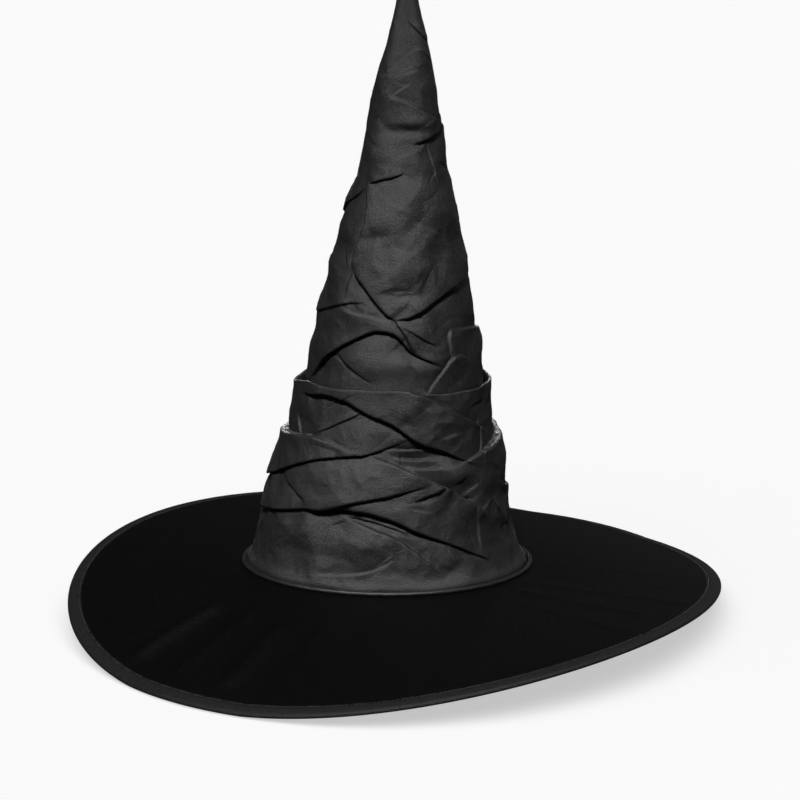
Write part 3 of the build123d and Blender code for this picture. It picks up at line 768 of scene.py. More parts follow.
def wear_and_crease_shade_group():
    """Lint and rubbed edges: pale specks, a mask of raised creases, and a mask of hollow creases for
    painted crease shade.
    """
    if "Rubbed Edges and Painted Shade" in bpy.data.node_groups:
        return bpy.data.node_groups["Rubbed Edges and Painted Shade"]
    group, given, out = new_group(
        "Rubbed Edges and Painted Shade",
        (("Lint Scale", "NodeSocketFloat", 260.0), ("Lint Share", "NodeSocketFloat", 0.71)),
        (
            ("Lint", "NodeSocketFloat"),
            ("Edges", "NodeSocketFloat"),
            ("Crease Shade", "NodeSocketFloat"),
        ),
    )
    nodes, links = group.nodes, group.links
    place = nodes.new("ShaderNodeTexCoord")
    specks = nodes.new("ShaderNodeTexNoise")
    specks.inputs["Detail"].default_value = 6.0
    links.new(place.outputs["Object"], specks.inputs["Vector"])
    links.new(given.outputs["Lint Scale"], specks.inputs["Scale"])
    above = add_math(group, "SUBTRACT", specks.outputs["Fac"], given.outputs["Lint Share"])
    links.new(add_math(group, "MULTIPLY", above, 14.0, clamp=True), out.inputs["Lint"])
    # Low pointiness marks hollow creases for painted crease shade; high pointiness marks raised edges for
    # rubbing.
    form = nodes.new("ShaderNodeNewGeometry")
    for name, start, end in (("Edges", 0.505, 0.60), ("Crease Shade", 0.495, 0.42)):
        ramp = nodes.new("ShaderNodeMapRange")
        ramp.inputs["From Min"].default_value = start
        ramp.inputs["From Max"].default_value = end
        links.new(form.outputs["Pointiness"], ramp.inputs["Value"])
        links.new(ramp.outputs["Result"], out.inputs[name])
    return group


def place_group(material, group, **values):
    """Puts a shared group in a material with its own values."""
    node = material.node_tree.nodes.new("ShaderNodeGroup")
    node.node_tree = group
    for socket, value in values.items():
        node.inputs[socket.replace("_", " ")].default_value = value
    return node


def mix_colour(material, factor, first, second, share=1.0):
    """Mixes two colours by a mask, up to a share."""
    tree = material.node_tree
    mix = tree.nodes.new("ShaderNodeMix")
    mix.data_type = "RGBA"
    scaled = add_math(tree, "MULTIPLY", factor, share, clamp=True)
    tree.links.new(scaled, mix.inputs["Factor"])
    for socket, value in (("A", first), ("B", second)):
        target = [i for i in mix.inputs if i.name == socket and i.type == "RGBA"][0]
        if isinstance(value, (tuple, list)) or hasattr(value, "__len__"):
            target.default_value = tuple(value)[:3] + (1.0,)
        else:
            tree.links.new(value, target)
    return [o for o in mix.outputs if o.type == "RGBA"][0]


def cloth_material(
    name, colour, roughness, sheen, threads, weave_depth, grain_depth, patch=0.25, lint=0.05,
    edge=0.0, specular=0.5, grain_scale=900.0, sheen_roughness=0.4, crease_shade=0.4, speckle=0.5,
):
    """A woven cloth with thread relief, grain, shade patches, lint, rubbed creases and painted shade in
    its hollow creases.
    """
    if name in bpy.data.materials:
        return bpy.data.materials[name]
    material = bpy.data.materials.new(name)
    material.use_nodes = True
    tree = material.node_tree
    nodes, links = tree.nodes, tree.links
    shader = nodes["Principled BSDF"]
    shader.inputs["Specular IOR Level"].default_value = specular
    shader.inputs["Sheen Weight"].default_value = sheen
    shader.inputs["Sheen Roughness"].default_value = sheen_roughness
    shader.inputs["Coat Roughness"].default_value = 0.45
    weave = place_group(material, weave_group(), Threads_per_Metre=float(threads))
    grain = place_group(material, grain_group(), Grain_Scale=float(grain_scale))
    wear_and_shade = place_group(material, wear_and_crease_shade_group())
    base = tuple(colour)
    dark = tuple(c * (1 - patch) for c in base)
    pale = tuple(min(1.0, c * (1 + patch)) for c in base)
    tone = mix_colour(material, grain.outputs["Patches"], dark, pale)
    speckled = mix_colour(
        material, grain.outputs["Speckle"], tone, tuple(min(1.0, c * 3.6) for c in base), speckle
    )
    yarn = mix_colour(
        material, weave.outputs["Yarn Mask"], speckled, tuple(c * 0.55 for c in base), 0.3
    )
    linty = mix_colour(
        material, wear_and_shade.outputs["Lint"], yarn, tuple(min(1.0, c * 4 + 0.03) for c in base), lint
    )
    rubbed = mix_colour(
        material, wear_and_shade.outputs["Edges"], linty, tuple(min(1.0, c * 2.4) for c in base), edge
    )
    # Painted shade: hollow creases, found by low pointiness, are darkened towards a fifth of the cloth's
    # colour.
    sunk = mix_colour(
        material, wear_and_shade.outputs["Crease Shade"], rubbed, tuple(c * 0.2 for c in base), crease_shade
    )
    links.new(sunk, shader.inputs["Base Color"])
    rough = add_math(tree, "MULTIPLY", grain.outputs["Grain"], 0.22)
    links.new(add_math(tree, "ADD", rough, roughness - 0.11), shader.inputs["Roughness"])
    relief = add_math(tree, "MULTIPLY", weave.outputs["Height"], weave_depth)
    specks = add_math(tree, "MULTIPLY", grain.outputs["Grain"], grain_depth)
    bump = nodes.new("ShaderNodeBump")
    bump.inputs["Strength"].default_value = 0.55
    bump.inputs["Distance"].default_value = 0.0004
    links.new(add_math(tree, "ADD", relief, specks), bump.inputs["Height"])
    links.new(bump.outputs["Normal"], shader.inputs["Normal"])
    return material


def metal_material(name, colour, roughness):
    """Drawn or crimped metal with fine scratches and dull patches."""
    if name in bpy.data.materials:
        return bpy.data.materials[name]
    material = bpy.data.materials.new(name)
    material.use_nodes = True
    tree = material.node_tree
    shader = tree.nodes["Principled BSDF"]
    shader.inputs["Metallic"].default_value = 1.0
    grain = place_group(material, grain_group(), Grain_Scale=2600.0)
    tone = mix_colour(material, grain.outputs["Patches"], colour, tuple(c * 0.7 for c in colour))
    tree.links.new(tone, shader.inputs["Base Color"])
    rough = add_math(tree, "MULTIPLY", grain.outputs["Grain"], 0.25)
    tree.links.new(add_math(tree, "ADD", rough, roughness), shader.inputs["Roughness"])
    bump = tree.nodes.new("ShaderNodeBump")
    bump.inputs["Strength"].default_value = 0.3
    bump.inputs["Distance"].default_value = 0.0001
    tree.links.new(grain.outputs["Grain"], bump.inputs["Height"])
    tree.links.new(bump.outputs["Normal"], shader.inputs["Normal"])
    return material


def dress(piece, material):
    """Gives a new piece its material."""
    piece.data.materials.clear()
    piece.data.materials.append(material)
    return piece


def redress(node, material):
    """Gives a kept frame node a better material."""
    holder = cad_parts[node]
    for slot in holder.material_slots:
        slot.material = material


# ---- settings ------------------------------------------------------------------------------


class CrownSettings(bpy.types.PropertyGroup):
    """Sizes and colours of the crown."""

    cloth_colour: bpy.props.FloatVectorProperty(
        name="Cloth Colour", description="Colour of the crown's taffeta", subtype="COLOR",
        size=3, min=0.0, max=1.0, default=(0.0066, 0.0065, 0.0071),
    )
    lining_colour: bpy.props.FloatVectorProperty(
        name="Lining Colour", description="Colour of the interlining", subtype="COLOR",
        size=3, min=0.0, max=1.0, default=(0.020, 0.020, 0.022),
    )
    wrinkle: bpy.props.FloatProperty(
        name="Wrinkle", description="Height of the fine wrinkles", default=0.0015,
        min=0.0, max=0.003, unit="LENGTH",
    )
    columns: bpy.props.IntProperty(
        name="Columns", description="Mesh columns round the lower crown", default=620,
        min=60, max=900,
    )
    lining_gap: bpy.props.FloatProperty(
        name="Lining Gap", description="From the cloth to the lining behind it", default=0.0016,
        min=0.0, max=0.005, unit="LENGTH",
    )


class BrimSettings(bpy.types.PropertyGroup):
    """Sizes and colours of the brim and its bound edge."""

    cloth_colour: bpy.props.FloatVectorProperty(
        name="Cloth Colour", description="Colour of the brim's satin", subtype="COLOR",
        size=3, min=0.0, max=1.0, default=(0.0008, 0.0008, 0.0009),
    )
    binding_colour: bpy.props.FloatVectorProperty(
        name="Binding Colour", description="Colour of the binding tape", subtype="COLOR",
        size=3, min=0.0, max=1.0, default=(0.0046, 0.0046, 0.0049),
    )
    binding_width: bpy.props.FloatProperty(
        name="Binding Width", description="Width of the tape on each face of the brim",
        default=0.0105, min=0.004, max=0.03, unit="LENGTH",
    )
    undulation: bpy.props.FloatProperty(
        name="Undulation", description="Height of the soft waves in the brim's cloth",
        default=0.0006, min=0.0, max=0.003, unit="LENGTH",
    )
    stitch_pitch: bpy.props.FloatProperty(
        name="Stitch Pitch", description="From one stitch to the next", default=0.0031,
        min=0.001, max=0.01, unit="LENGTH",
    )


class FittingSettings(bpy.types.PropertyGroup):
    """Sizes and colours of the sweatband, piping and label."""

    sweatband_colour: bpy.props.FloatVectorProperty(
        name="Sweatband Colour", description="Colour of the cotton band", subtype="COLOR",
        size=3, min=0.0, max=1.0, default=(0.018, 0.018, 0.020),
    )
    piping_colour: bpy.props.FloatVectorProperty(
        name="Piping Colour", description="Colour of the piping tape", subtype="COLOR",
        size=3, min=0.0, max=1.0, default=(0.0060, 0.0060, 0.0064),
    )
    label_colour: bpy.props.FloatVectorProperty(
        name="Label Colour", description="Colour of the blank label", subtype="COLOR",
        size=3, min=0.0, max=1.0, default=(0.72, 0.71, 0.69),
    )
    piping_radius: bpy.props.FloatProperty(
        name="Piping Radius", description="Radius of the corded hem", default=0.0016,
        min=0.0005, max=0.004, unit="LENGTH",
    )


# ---- operators -----------------------------------------------------------------------------


def lip_height(angle):
    """Height of the turned lip at an angle round the crown."""
    line = np.array(LIP_LINE, float)
    return np.interp(wrapped(angle), line[:, 0], line[:, 1])


def seam_pinch(angle, height, reach_per_degree):
    """Pulls the cloth in along the back seam, with small puckers beside it."""
    away = (180.0 - np.abs(angle)) * reach_per_degree
    groove = -0.9 * np.exp(-((away / 1.5) ** 2))
    pucker = 0.35 * np.sin(height * 0.85 + 1.5 * np.sin(height * 0.21)) * np.exp(-away / 7.0)
    return groove + pucker


def lower_points(columns, rows, wrinkle, inset=0.0, turned=True):
    """Cloth of the lower crown, from its flared foot to the turned lip."""
    angle = np.linspace(-180.0, 180.0, columns + 1)
    share = np.linspace(0, 1, rows)
    foot = LOWER_OUTLINE[0, 0]
    angle_grid, share_grid = np.meshgrid(angle, share)
    height = foot + (lip_height(angle_grid) - foot) * share_grid
    calm = (smooth_step((height - 1.0) / 9.0),) * 2
    folds = LOWER_FOLDS + LOWER_BACK_FOLDS + short_creases(LOWER_OUTLINE, *LOWER_CREASES)
    body = crown_surface(
        angle_grid, height, LOWER_OUTLINE, folds, LOWER_DENTS, wrinkle, calm, inset
    )
    if turned:
        body = relax(body, 1, 0.3)
        edge = body[-1]
        centre = np.array((4.2, 0.0, 0.0))
        inward = centre - edge
        inward[:, 2] = 0.0
        inward /= np.linalg.norm(inward, axis=1)[:, None]
        rolled = [
            edge + inward * move + np.array((0, 0, 1.0)) * rise for move, rise in LIP_ROLL
        ]
        body = np.concatenate((body, np.array(rolled)), axis=0)
    return body


def upper_points(columns, rows, wrinkle, inset=0.0, bottom=UPPER_FOOT):
    """Cloth of the upper crown, from its foot inside the lip to the point."""
    angle = np.linspace(-180.0, 180.0, columns + 1)
    height = np.linspace(bottom, UPPER_OUTLINE[-1, 0], rows)
    angle_grid, height_grid = np.meshgrid(angle, height)
    near_tip = 1 - smooth_step((height_grid - 395.0) / 36.0) * 0.8
    calm = (
        smooth_step((height_grid - 143.0) / 22.0) * near_tip,
        smooth_step((height_grid - 132.0) / 18.0) * near_tip,
    )
    folds = UPPER_FOLDS + UPPER_BACK_FOLDS + short_creases(UPPER_OUTLINE, *UPPER_CREASES)
    body = crown_surface(
        angle_grid, height_grid, UPPER_OUTLINE, folds, UPPER_DENTS, wrinkle, calm, inset
    )
    return relax(body, 1, 0.3)


def add_crown_piece(name, points, across, top=None):
    """A crown mesh from points above the seat, open at its back seam, with a flat map in metres."""
    rows = points.shape[0]
    placed = seat_to_frame(points.reshape(-1, 3)).reshape(points.shape)
    step = np.linalg.norm(np.diff(placed, axis=0), axis=2).mean(axis=1)
    along = np.concatenate(((0.0,), np.cumsum(step)))[:rows]
    cap = None if top is None else seat_to_frame(np.array([top]))[0]
    flat_map = (across / points.shape[1], along)
    return grid_mesh(name, placed, closed=False, uv=flat_map, cap=cap)


class HAT_OT_crown(bpy.types.Operator):
    """Slumped crown cloth in two pieces, with the lining behind it"""

    bl_idname = "hat.crown"
    bl_label = "Crown"

    def execute(self, context):
        settings = context.scene.hat_crown
        wrinkle = settings.wrinkle / MM
        columns = settings.columns
        lower_rows = 165
        upper_columns = 400
        upper_rows = 350
        # The taffeta gets painted shade in its hollow creases.
        cloth = cloth_material(
            "crown_taffeta", settings.cloth_colour, 0.5, 0.0, 2100, 0.8, 2.5,
            patch=0.06, lint=0.03, edge=0.0, specular=0.5, grain_scale=1000.0, crease_shade=0.5,
            speckle=1.0,
        )
        lining_cloth = cloth_material(
            "crown_interlining", settings.lining_colour, 0.85, 0.1, 900, 0.3, 1.2, patch=0.3,
            lint=0.1, grain_scale=500.0,
        )
        lower = add_crown_piece(
            "crown_lower_folds", lower_points(columns, lower_rows, wrinkle), 0.56
        )
        dress(lower, cloth)
        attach(lower, HAT_BASE)
        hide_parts("crown_lower_cloth")
        upper = add_crown_piece(
            "crown_upper_folds", upper_points(upper_columns, upper_rows, wrinkle), 0.30, top=CROWN_PEAK
        )
        dress(upper, cloth)
        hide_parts("crown_middle_cloth", "crown_tip_cloth")
        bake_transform(upper)
        gap = settings.lining_gap / MM
        lining = add_crown_piece(
            "crown_lower_interlining",
            lower_points(columns // 2, 90, wrinkle, inset=gap + 1.4, turned=False)[4:84],
            0.56,
        )
        dress(lining, lining_cloth)
        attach(lining, HAT_BASE)
        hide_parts("crown_lower_lining")
        upper_lining = add_crown_piece(
            "crown_upper_interlining",
            upper_points(upper_columns // 2, 160, wrinkle, inset=gap + 0.6, bottom=119.0)[:150],
            0.30,
        )
        dress(upper_lining, lining_cloth)
        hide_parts("crown_middle_lining", "crown_tip_lining")
        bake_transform(upper_lining)
        return {"FINISHED"}


class HAT_OT_brim(bpy.types.Operator):
    """Satin covers over and under the brim board"""

    bl_idname = "hat.brim"
    bl_label = "Brim"

    def execute(self, context):
        settings = context.scene.hat_brim
        satin = cloth_material(
            "brim_satin_cloth", settings.cloth_colour, 0.48, 0.0, 2600, 0.3, 2.8,
            patch=0.2, lint=0.02, specular=0.1, grain_scale=900.0, speckle=0.9, sheen_roughness=0.35,
            crease_shade=0.0,
        )
        columns, rows = ((480, 84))
        theta = np.arange(columns) * TURN / columns
        share = np.linspace(0, 1, rows)[:, None]
        wave = settings.undulation / MM
        for name, node, slot, lift, sign in (
            ("brim_top_satin", "brim_top_cover", "brim_satin", HALF_STACK, 1.0),
            ("brim_under_satin", "brim_under_cover", "under_satin", -HALF_STACK, -1.0),
        ):
            last = rim_share(theta, 3.6)[None, :]
            grid_share = share * last
            points = brim_points(theta[None, :], grid_share, 0.0)
            middle = np.sin(np.clip(share, 0, 1) * math.pi) ** 0.7
            spokes = (
                0.55 * np.sin(7 * theta + 0.6)
                + 0.5 * np.sin(12 * theta + 2.1)
                + 0.45 * np.sin(19 * theta + 4.0)
                + 0.3 * np.sin(31 * theta + 1.3)
            )[None, :]
            flat = points.reshape(-1, 3)
            puffs = ruffle(flat * np.array((1.0, 1.0, 0.0)), 46.0, 5).reshape(points.shape[:2])
            small = ruffle(flat * np.array((1.0, 1.0, 0.0)), 15.0, 6).reshape(points.shape[:2])
            rise = wave * middle * (0.6 * spokes * share + 1.1 * puffs + 0.2 * small)
            if sign > 0:
                rise += self.pulls(theta[None, :], share)
            points[..., 2] += lift + sign * (0.05 + np.logaddexp(0.0, 4.0 * rise) / 4.0)
            placed = points * MM
            step = np.linalg.norm(np.diff(placed, axis=0), axis=2).mean(axis=1)
            along = np.concatenate(((0.0,), np.cumsum(step)))
            piece = grid_mesh(name, placed, uv=(1.1 / columns, along))
            dress(piece, satin)
            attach(piece, HAT_BASE)
            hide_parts(node)
        felt = cloth_material(
            "board_felt_cloth", (0.05, 0.05, 0.052), 0.9, 0.2, 700, 0.1, 1.5, patch=0.3, lint=0.2,
            grain_scale=420.0,
        )
        redress("brim_board", felt)
        return {"FINISHED"}


    def pulls(self, theta, share):
        """Soft drag lines in the top cover, where it is pulled from the crown to the edge."""
        rise = np.zeros(np.broadcast(theta, share).shape)
        for bearing, lean, width, start, end, height in BRIM_PULLS:
            centre = math.radians(bearing) + math.radians(lean) * (share - start)
            off = (theta - centre + math.pi) % TURN - math.pi
            spread = math.radians(width) * (1.25 - 0.5 * share)
            along = smooth_step((share - start) / 0.12) * (1 - smooth_step((share - end) / 0.09))
            ridge = np.exp(-((off / spread) ** 2))
            hollow = np.exp(-(((off + 1.5 * spread) / (0.8 * spread)) ** 2))
            rise += height * along * (ridge - 0.55 * hollow)
        return rise


class HAT_OT_edge(bpy.types.Operator):
    """Bound edge with its stitching, and the wire and joiner inside it"""

    bl_idname = "hat.edge"
    bl_label = "Bound Edge"

    def execute(self, context):
        settings = context.scene.hat_brim
        # The tape gets painted shade in its hollow creases.
        tape = cloth_material(
            "binding_tape_cloth", settings.binding_colour, 0.58, 0.0, 1500, 0.8, 2.8,
            patch=0.1, lint=0.05, edge=0.0, grain_scale=900.0, specular=0.26, crease_shade=0.8,
            speckle=0.9,
        )
        columns = 720
        theta = np.arange(columns) * TURN / columns
        width = settings.binding_width / MM
        outer = (
            (width - 0.3, 1.36), (width, 1.42), (width - 0.15, 1.53), (width - 0.6, 1.57),
            (9.5, 1.5), (9.1, 1.42), (8.7, 1.48), (8.2, 1.68), (7.5, 1.82), (5.0, 1.84),
            (3.0, 1.8), (1.9, 1.74), (1.0, 1.5), (0.4, 1.0),
            (0.08, 0.4), (0.08, -0.4), (0.4, -1.0), (1.0, -1.5), (1.9, -1.74), (3.0, -1.79),
            (5.0, -1.79), (7.5, -1.79), (width - 0.6, -1.76), (width - 0.1, -1.68),
            (width, -1.5), (width - 0.3, -1.36),
        )
        pucker = 0.10 * np.sin(theta * 233) + 0.07 * np.sin(theta * 97 + 1.0)
        rings = []
        for inset, lift in outer:
            side = min(1.0, max(0.0, (inset - 0.5) / 3.0))
            edge_wave = 0.08 * np.sin(theta * 41 + 0.7) * (1 if inset > width - 1.0 else 0)
            ring = brim_points(theta, rim_share(theta, inset + edge_wave), lift)
            if lift > 0:
                ring[:, 2] += pucker * side * 0.6
            rings.append(ring)
        points = np.array(rings)[::-1] * MM
        step = np.linalg.norm(np.diff(points, axis=0), axis=2).mean(axis=1)
        along = np.concatenate(((0.0,), np.cumsum(step)))
        binding = grid_mesh("bound_edge_tape", points, uv=(1.505 / columns, along))
        dress(binding, tape)
        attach(binding, HAT_BASE)
        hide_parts("edge_binding")
        thread = cloth_material(
            "sewing_thread", (0.008, 0.008, 0.009), 0.55, 0.3, 3000, 0.4, 0.6, grain_scale=2500.0
        )
        line_theta = np.arange(720) * TURN / 720
        line = brim_points(line_theta, rim_share(line_theta, 9.1), 1.56) * MM
        seam = stitches("binding_stitches", line, settings.stitch_pitch, 0.0023, 0.00019, 0.0001)
        dress(seam, thread)
        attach(seam, HAT_BASE)
        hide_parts("binding_thread")
        redress("rim_wire", metal_material("wire_steel_metal", (0.42, 0.42, 0.43), 0.3))
        redress("wire_joiner", metal_material("joiner_metal", (0.62, 0.62, 0.63), 0.35))
        return {"FINISHED"}


class HAT_OT_fittings(bpy.types.Operator):
    """Sweatband, its stitches, piping, blank label and seam tapes"""

    bl_idname = "hat.fittings"
    bl_label = "Fittings"

    def execute(self, context):
        settings = context.scene.hat_fittings
        columns = 300
        theta = np.arange(720) * TURN / 720
        tape = cloth_material(
            "piping_tape_cloth", settings.piping_colour, 0.48, 0.0, 1700, 0.7, 1.8, patch=0.1,
            specular=0.5,
        )
        radius = settings.piping_radius / MM
        line = brim_points(theta, opening_share(theta, 3.5), HALF_STACK + 0.1 + radius)
        line[:, 2] += 0.08 * np.sin(theta * 37) + 0.05 * np.sin(theta * 61 + 2)
        piping = tube_along("base_piping_hem", line * MM, radius * MM, 16)
        dress(piping, tape)
        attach(piping, HAT_BASE)
        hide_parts("base_piping")
        redress(
            "piping_cord",
            cloth_material("cord_cotton_twist", (0.35, 0.34, 0.32), 0.9, 0.2, 1200, 0.8, 1.0),
        )
        cotton = cloth_material(
            "sweatband_cotton_twill", settings.sweatband_colour, 0.8, 0.3, 1300, 1.0, 0.8,
            patch=0.25, lint=0.15,
        )
        stations = np.array(
            ((-3.0, 99.8, 0.78, 0.0), (0.6, 99.2, 0.78, 0.0), (8.0, 95.2, 0.785, -0.4),
             (22.0, 90.4, 0.795, -1.0), (28.0, 89.2, 0.80, -1.2), (31.0, 88.8, 0.80, -1.2))
        )
        angle = np.arange(columns) * 360.0 / columns - 180.0
        levels = np.concatenate(
            (np.linspace(-2.8, 27.4, 22), (27.8, 27.9, 27.6), np.linspace(27.0, -2.4, 20))
        )
        depth = np.concatenate((np.full(22, 0.0), (0.2, 0.55, 0.9), np.full(20, 1.0)))
        angles, heights = np.meshgrid(angle, levels)
        ribs = 0.12 * np.sin(heights * 2.4) + 0.08 * np.sin(np.radians(angles) * 23)
        band = crown_surface(angles, heights, stations, (), (), 0.0, None, 0.0)
        centre = np.array((0.0, 0.0))
        away = band[..., :2] - centre
        away /= np.linalg.norm(away, axis=2)[..., None]
        band[..., :2] -= away * (depth[:, None] + np.where(depth[:, None] > 0.9, ribs, 0))[..., None]
        sweatband = add_crown_piece("sweatband_twill", band, 0.56)
        dress(sweatband, cotton)
        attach(sweatband, HAT_BASE)
        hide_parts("sweatband")
        thread = bpy.data.materials["sewing_thread"]
        seam_angle = np.arange(360) * 1.0 - 180.0
        seam_height = np.full(360, -0.9)
        seam_line = crown_surface(seam_angle, seam_height, stations, (), (), 0.0, None, 1.25)
        seam = stitches(
            "sweatband_stitches", seat_to_frame(seam_line), 0.0034, 0.0024, 0.00018, 0.0
        )
        dress(seam, thread)
        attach(seam, HAT_BASE)
        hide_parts("sweatband_thread")
        self.label(settings)
        self.tapes(context)
        return {"FINISHED"}

    def label(self, settings):
        """A blank folded label inside the back."""
        low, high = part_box("care_label")
        satin = cloth_material(
            "label_satin_cloth", settings.label_colour, 0.45, 0.2, 2600, 0.5, 0.4, patch=0.06,
            lint=0.0,
        )
        across, up = 26, 20
        u = np.linspace(0, 1, across)
        v = np.linspace(0, 1, up)
        grid_u, grid_v = np.meshgrid(u, v)
        faces = []
        for side in (0.0, 1.0):
            bow = 0.0006 * np.sin(grid_u * math.pi) * grid_v + 0.0004 * np.sin(grid_v * 5.0)
            y = low.y + (high.y - low.y) * side - bow
            x = low.x + 0.0006 + (high.x - low.x - 0.0012) * grid_u
            z = low.z + 0.0006 + (high.z - low.z - 0.0012) * grid_v
            faces.append(np.stack((x, y, z), axis=-1))
        ring = np.concatenate((faces[0], faces[1][:, ::-1]), axis=1)
        piece = grid_mesh("blank_label", ring, uv=(0.052 / (2 * across), v * 0.018))
        dress(piece, satin)
        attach(piece, HAT_BASE)
        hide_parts("care_label")

    def tapes(self, context):
        """Narrow tapes behind the crown's back seam."""
        twill = cloth_material(
            "seam_tape_twill", (0.025, 0.025, 0.027), 0.8, 0.2, 1400, 1.0, 0.8, patch=0.2
        )
        lower_levels = np.linspace(33.0, 124.0, 50)
        half = 5.0
        outline_sets = (
            ("seam_tape_low", "back_seam_tape_lower", LOWER_OUTLINE, lower_levels, HAT_BASE),
            ("seam_tape_high", None, UPPER_OUTLINE, np.linspace(128.0, 350.0, 110), None),
        )
        for name, node, outline, levels, body in outline_sets:
            length, ratio, _ = eased_outline(outline, levels)
            spread = np.degrees(half / np.maximum(length, 12.0))
            offsets = np.linspace(-1, 1, 9)
            angles = 180.0 + spread[:, None] * offsets[None, :]
            heights = np.repeat(levels[:, None], 9, axis=1)
            folds = LOWER_FOLDS + LOWER_BACK_FOLDS if body else UPPER_FOLDS + UPPER_BACK_FOLDS
            dents = LOWER_DENTS if body else UPPER_DENTS
            calm = None if body else (
                smooth_step((heights - 143.0) / 22.0), smooth_step((heights - 132.0) / 18.0)
            )
            strip = crown_surface(angles, heights, outline, folds, dents, 0.0, calm, 3.7 if body else 2.6)
            placed = seat_to_frame(strip.reshape(-1, 3)).reshape(strip.shape)
            along = np.linspace(0, (levels[-1] - levels[0]) * MM, len(levels))
            piece = grid_mesh(name, placed, closed=False, uv=(0.0012, along))
            dress(piece, twill)
            if body:
                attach(piece, body)
                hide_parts(node)
            else:
                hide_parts("back_seam_tape_middle", "back_seam_tape_tip")
                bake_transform(piece)


class HAT_OT_stage(bpy.types.Operator):
    """Pale floor, soft studio light and the camera"""

    bl_idname = "hat.stage"
    bl_label = "Stage"

    def execute(self, context):
        scene = context.scene
        scene.view_settings.view_transform = "Standard"
        scene.view_settings.look = "None"
        floor_mesh = bpy.data.meshes.new("studio_floor")
        reach = 12.0
        floor_mesh.from_pydata(
            [(-reach, -reach, 0), (reach, -reach, 0), (reach, reach, 0), (-reach, reach, 0)],
            [], [(0, 1, 2, 3)],
        )
        floor = bpy.data.objects.new("studio_floor", floor_mesh)
        scene.collection.objects.link(floor)
        paper = bpy.data.materials.new("studio_paper")
        paper.use_nodes = True
        tree = paper.node_tree
        tree.nodes.clear()
        out = tree.nodes.new("ShaderNodeOutputMaterial")
        diffuse = tree.nodes.new("ShaderNodeBsdfDiffuse")
        diffuse.inputs["Color"].default_value = (0.55, 0.55, 0.55, 1)
        glow = tree.nodes.new("ShaderNodeEmission")
        glow.inputs["Strength"].default_value = FLOOR_GLOW
        both = tree.nodes.new("ShaderNodeAddShader")
        tree.links.new(diffuse.outputs[0], both.inputs[0])
        tree.links.new(glow.outputs[0], both.inputs[1])
        bounce = tree.nodes.new("ShaderNodeEmission")
        bounce.inputs["Strength"].default_value = FLOOR_BOUNCE
        path = tree.nodes.new("ShaderNodeLightPath")
        mix = tree.nodes.new("ShaderNodeMixShader")
        tree.links.new(path.outputs["Is Camera Ray"], mix.inputs["Fac"])
        tree.links.new(bounce.outputs[0], mix.inputs[1])
        tree.links.new(both.outputs[0], mix.inputs[2])
        side = tree.nodes.new("ShaderNodeNewGeometry")
        clear = tree.nodes.new("ShaderNodeBsdfTransparent")
        one_sided = tree.nodes.new("ShaderNodeMixShader")
        tree.links.new(side.outputs["Backfacing"], one_sided.inputs["Fac"])
        tree.links.new(mix.outputs[0], one_sided.inputs[1])
        tree.links.new(clear.outputs[0], one_sided.inputs[2])
        tree.links.new(one_sided.outputs[0], out.inputs["Surface"])
        floor_mesh.materials.append(paper)
        self.sky(scene)
        self.lights(scene, floor)
        self.camera(scene)
        return {"FINISHED"}

    def sky(self, scene):
        """A white surround to look at, and a dimmer one to light by."""
        world = bpy.data.worlds.new("studio_surround")
        scene.world = world
        world.use_nodes = True
        tree = world.node_tree
        tree.nodes.clear()
        out = tree.nodes.new("ShaderNodeOutputWorld")
        path = tree.nodes.new("ShaderNodeLightPath")
        seen = tree.nodes.new("ShaderNodeBackground")
        seen.inputs["Strength"].default_value = 0.957
        seen.inputs["Color"].default_value = (1, 1, 1, 1)
        lit = tree.nodes.new("ShaderNodeBackground")
        lit.inputs["Strength"].default_value = SURROUND_STRENGTH
        place = tree.nodes.new("ShaderNodeTexCoord")
        split = tree.nodes.new("ShaderNodeSeparateXYZ")
        tree.links.new(place.outputs["Generated"], split.inputs[0])
        ramp = tree.nodes.new("ShaderNodeMapRange")
        ramp.inputs["From Min"].default_value = -0.5
        ramp.inputs["From Max"].default_value = 0.6
        ramp.inputs["To Min"].default_value = 0.3
        ramp.inputs["To Max"].default_value = 1.0
        tree.links.new(split.outputs["X"], ramp.inputs["Value"])
        tree.links.new(ramp.outputs["Result"], lit.inputs["Color"])
        mix = tree.nodes.new("ShaderNodeMixShader")
        tree.links.new(path.outputs["Is Camera Ray"], mix.inputs["Fac"])
        tree.links.new(lit.outputs[0], mix.inputs[1])
        tree.links.new(seen.outputs[0], mix.inputs[2])
        tree.links.new(mix.outputs[0], out.inputs["Surface"])

    def lights(self, scene, floor):
        """Broad soft lamps: one overhead that lights only the floor, two for the hat alone, one for the
        crown alone and one from below for the inside.
        """
        receivers = {}
        for name, state in (("floor_only", "INCLUDE"), ("hat_only", "EXCLUDE")):
            group = bpy.data.collections.new(name)
            group.objects.link(floor)
            group.collection_objects[0].light_linking.link_state = state
            receivers[name] = group
        for group_name, names in (("crown_only", CROWN_PIECES), ("inside_only", INSIDE_PIECES)):
            receivers[group_name] = bpy.data.collections.new(group_name)
            for name in names:
                receivers[group_name].objects.link(bpy.data.objects[name])
        for name, azimuth, elevation, strength, spread, shines_on in LAMPS:
            lamp = bpy.data.lights.new(name, "SUN")
            lamp.energy = strength
            lamp.angle = math.radians(spread)
            holder = bpy.data.objects.new(name, lamp)
            scene.collection.objects.link(holder)
            a, e = math.radians(azimuth), math.radians(elevation)
            towards = Vector((math.sin(a) * math.cos(e), -math.cos(a) * math.cos(e), math.sin(e)))
            holder.rotation_euler = towards.to_track_quat("Z", "Y").to_euler()
            holder.location = towards * 3
            holder.light_linking.receiver_collection = receivers[shines_on]
            if elevation < 0:
                holder.light_linking.blocker_collection = receivers["hat_only"]

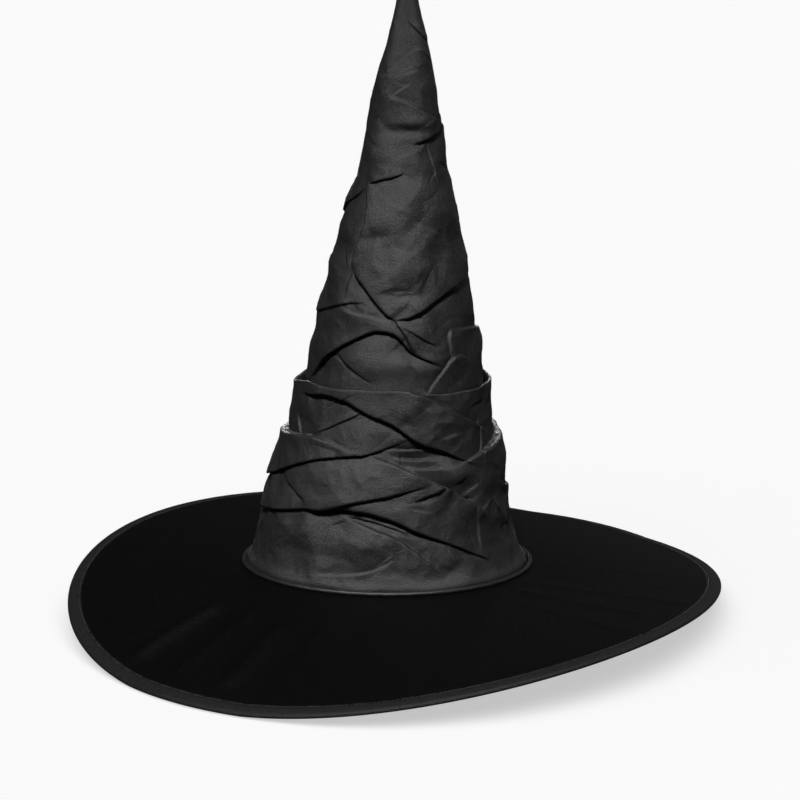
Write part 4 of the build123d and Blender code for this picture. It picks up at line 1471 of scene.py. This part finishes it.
    def camera(self, scene):
        """The camera, level with the front and a little above."""
        lens = bpy.data.cameras.new("studio_camera")
        lens.sensor_width = 36.0
        lens.lens = CAMERA_LENS
        lens.clip_end = 60.0
        holder = bpy.data.objects.new("studio_camera", lens)
        scene.collection.objects.link(holder)
        e = math.radians(CAMERA_ELEVATION)
        away = np.array((0.0, -math.cos(e), math.sin(e)))
        spot = np.array((SEAT[0], SEAT[1], SEAT[2] - HALF_STACK)) * MM + away * CAMERA_DISTANCE
        pitch, yaw, roll = (math.radians(v) for v in (CAMERA_PITCH, CAMERA_YAW, CAMERA_ROLL))
        ahead, right = -away, np.array((1.0, 0.0, 0.0))
        up = np.cross(right, ahead)
        ahead, up = (
            ahead * math.cos(pitch) - up * math.sin(pitch),
            up * math.cos(pitch) + ahead * math.sin(pitch),
        )
        ahead, right = (
            ahead * math.cos(yaw) - right * math.sin(yaw),
            right * math.cos(yaw) + ahead * math.sin(yaw),
        )
        x_axis = right * math.cos(roll) + up * math.sin(roll)
        y_axis = up * math.cos(roll) - right * math.sin(roll)
        turned = Matrix((x_axis, y_axis, -ahead)).transposed()
        holder.matrix_world = Matrix.Translation(Vector(spot)) @ turned.to_4x4()
        scene.camera = holder


class HAT_PT_panel(bpy.types.Panel):
    """Lists the hat's pieces and its stage"""

    bl_idname = "HAT_PT_panel"
    bl_label = "Pointed Hat"
    bl_space_type = "VIEW_3D"
    bl_region_type = "UI"
    bl_category = "Hat"

    def draw(self, context):
        layout = self.layout
        for owner in (context.scene.hat_crown, context.scene.hat_brim, context.scene.hat_fittings):
            box = layout.box()
            for name in owner.__annotations__:
                box.prop(owner, name)
        for operator in OPERATORS:
            layout.operator(operator.bl_idname)


SETTINGS = (
    ("hat_crown", CrownSettings),
    ("hat_brim", BrimSettings),
    ("hat_fittings", FittingSettings),
)
OPERATORS = (HAT_OT_brim, HAT_OT_edge, HAT_OT_crown, HAT_OT_fittings, HAT_OT_stage)


def register():
    """Makes the settings, operators and panel known."""
    for name, kind in SETTINGS:
        bpy.utils.register_class(kind)
        setattr(bpy.types.Scene, name, bpy.props.PointerProperty(type=kind))
    for kind in OPERATORS + (HAT_PT_panel,):
        bpy.utils.register_class(kind)


def unregister():
    """Takes them away again."""
    for kind in (HAT_PT_panel,) + OPERATORS[::-1]:
        bpy.utils.unregister_class(kind)
    for name, kind in SETTINGS[::-1]:
        delattr(bpy.types.Scene, name)
        bpy.utils.unregister_class(kind)


def main():
    """Builds the hat and its stage."""
    register()
    bpy.ops.hat.brim()
    bpy.ops.hat.edge()
    bpy.ops.hat.crown()
    bpy.ops.hat.fittings()
    bpy.ops.hat.stage()


if __name__ == "__main__":
    main()
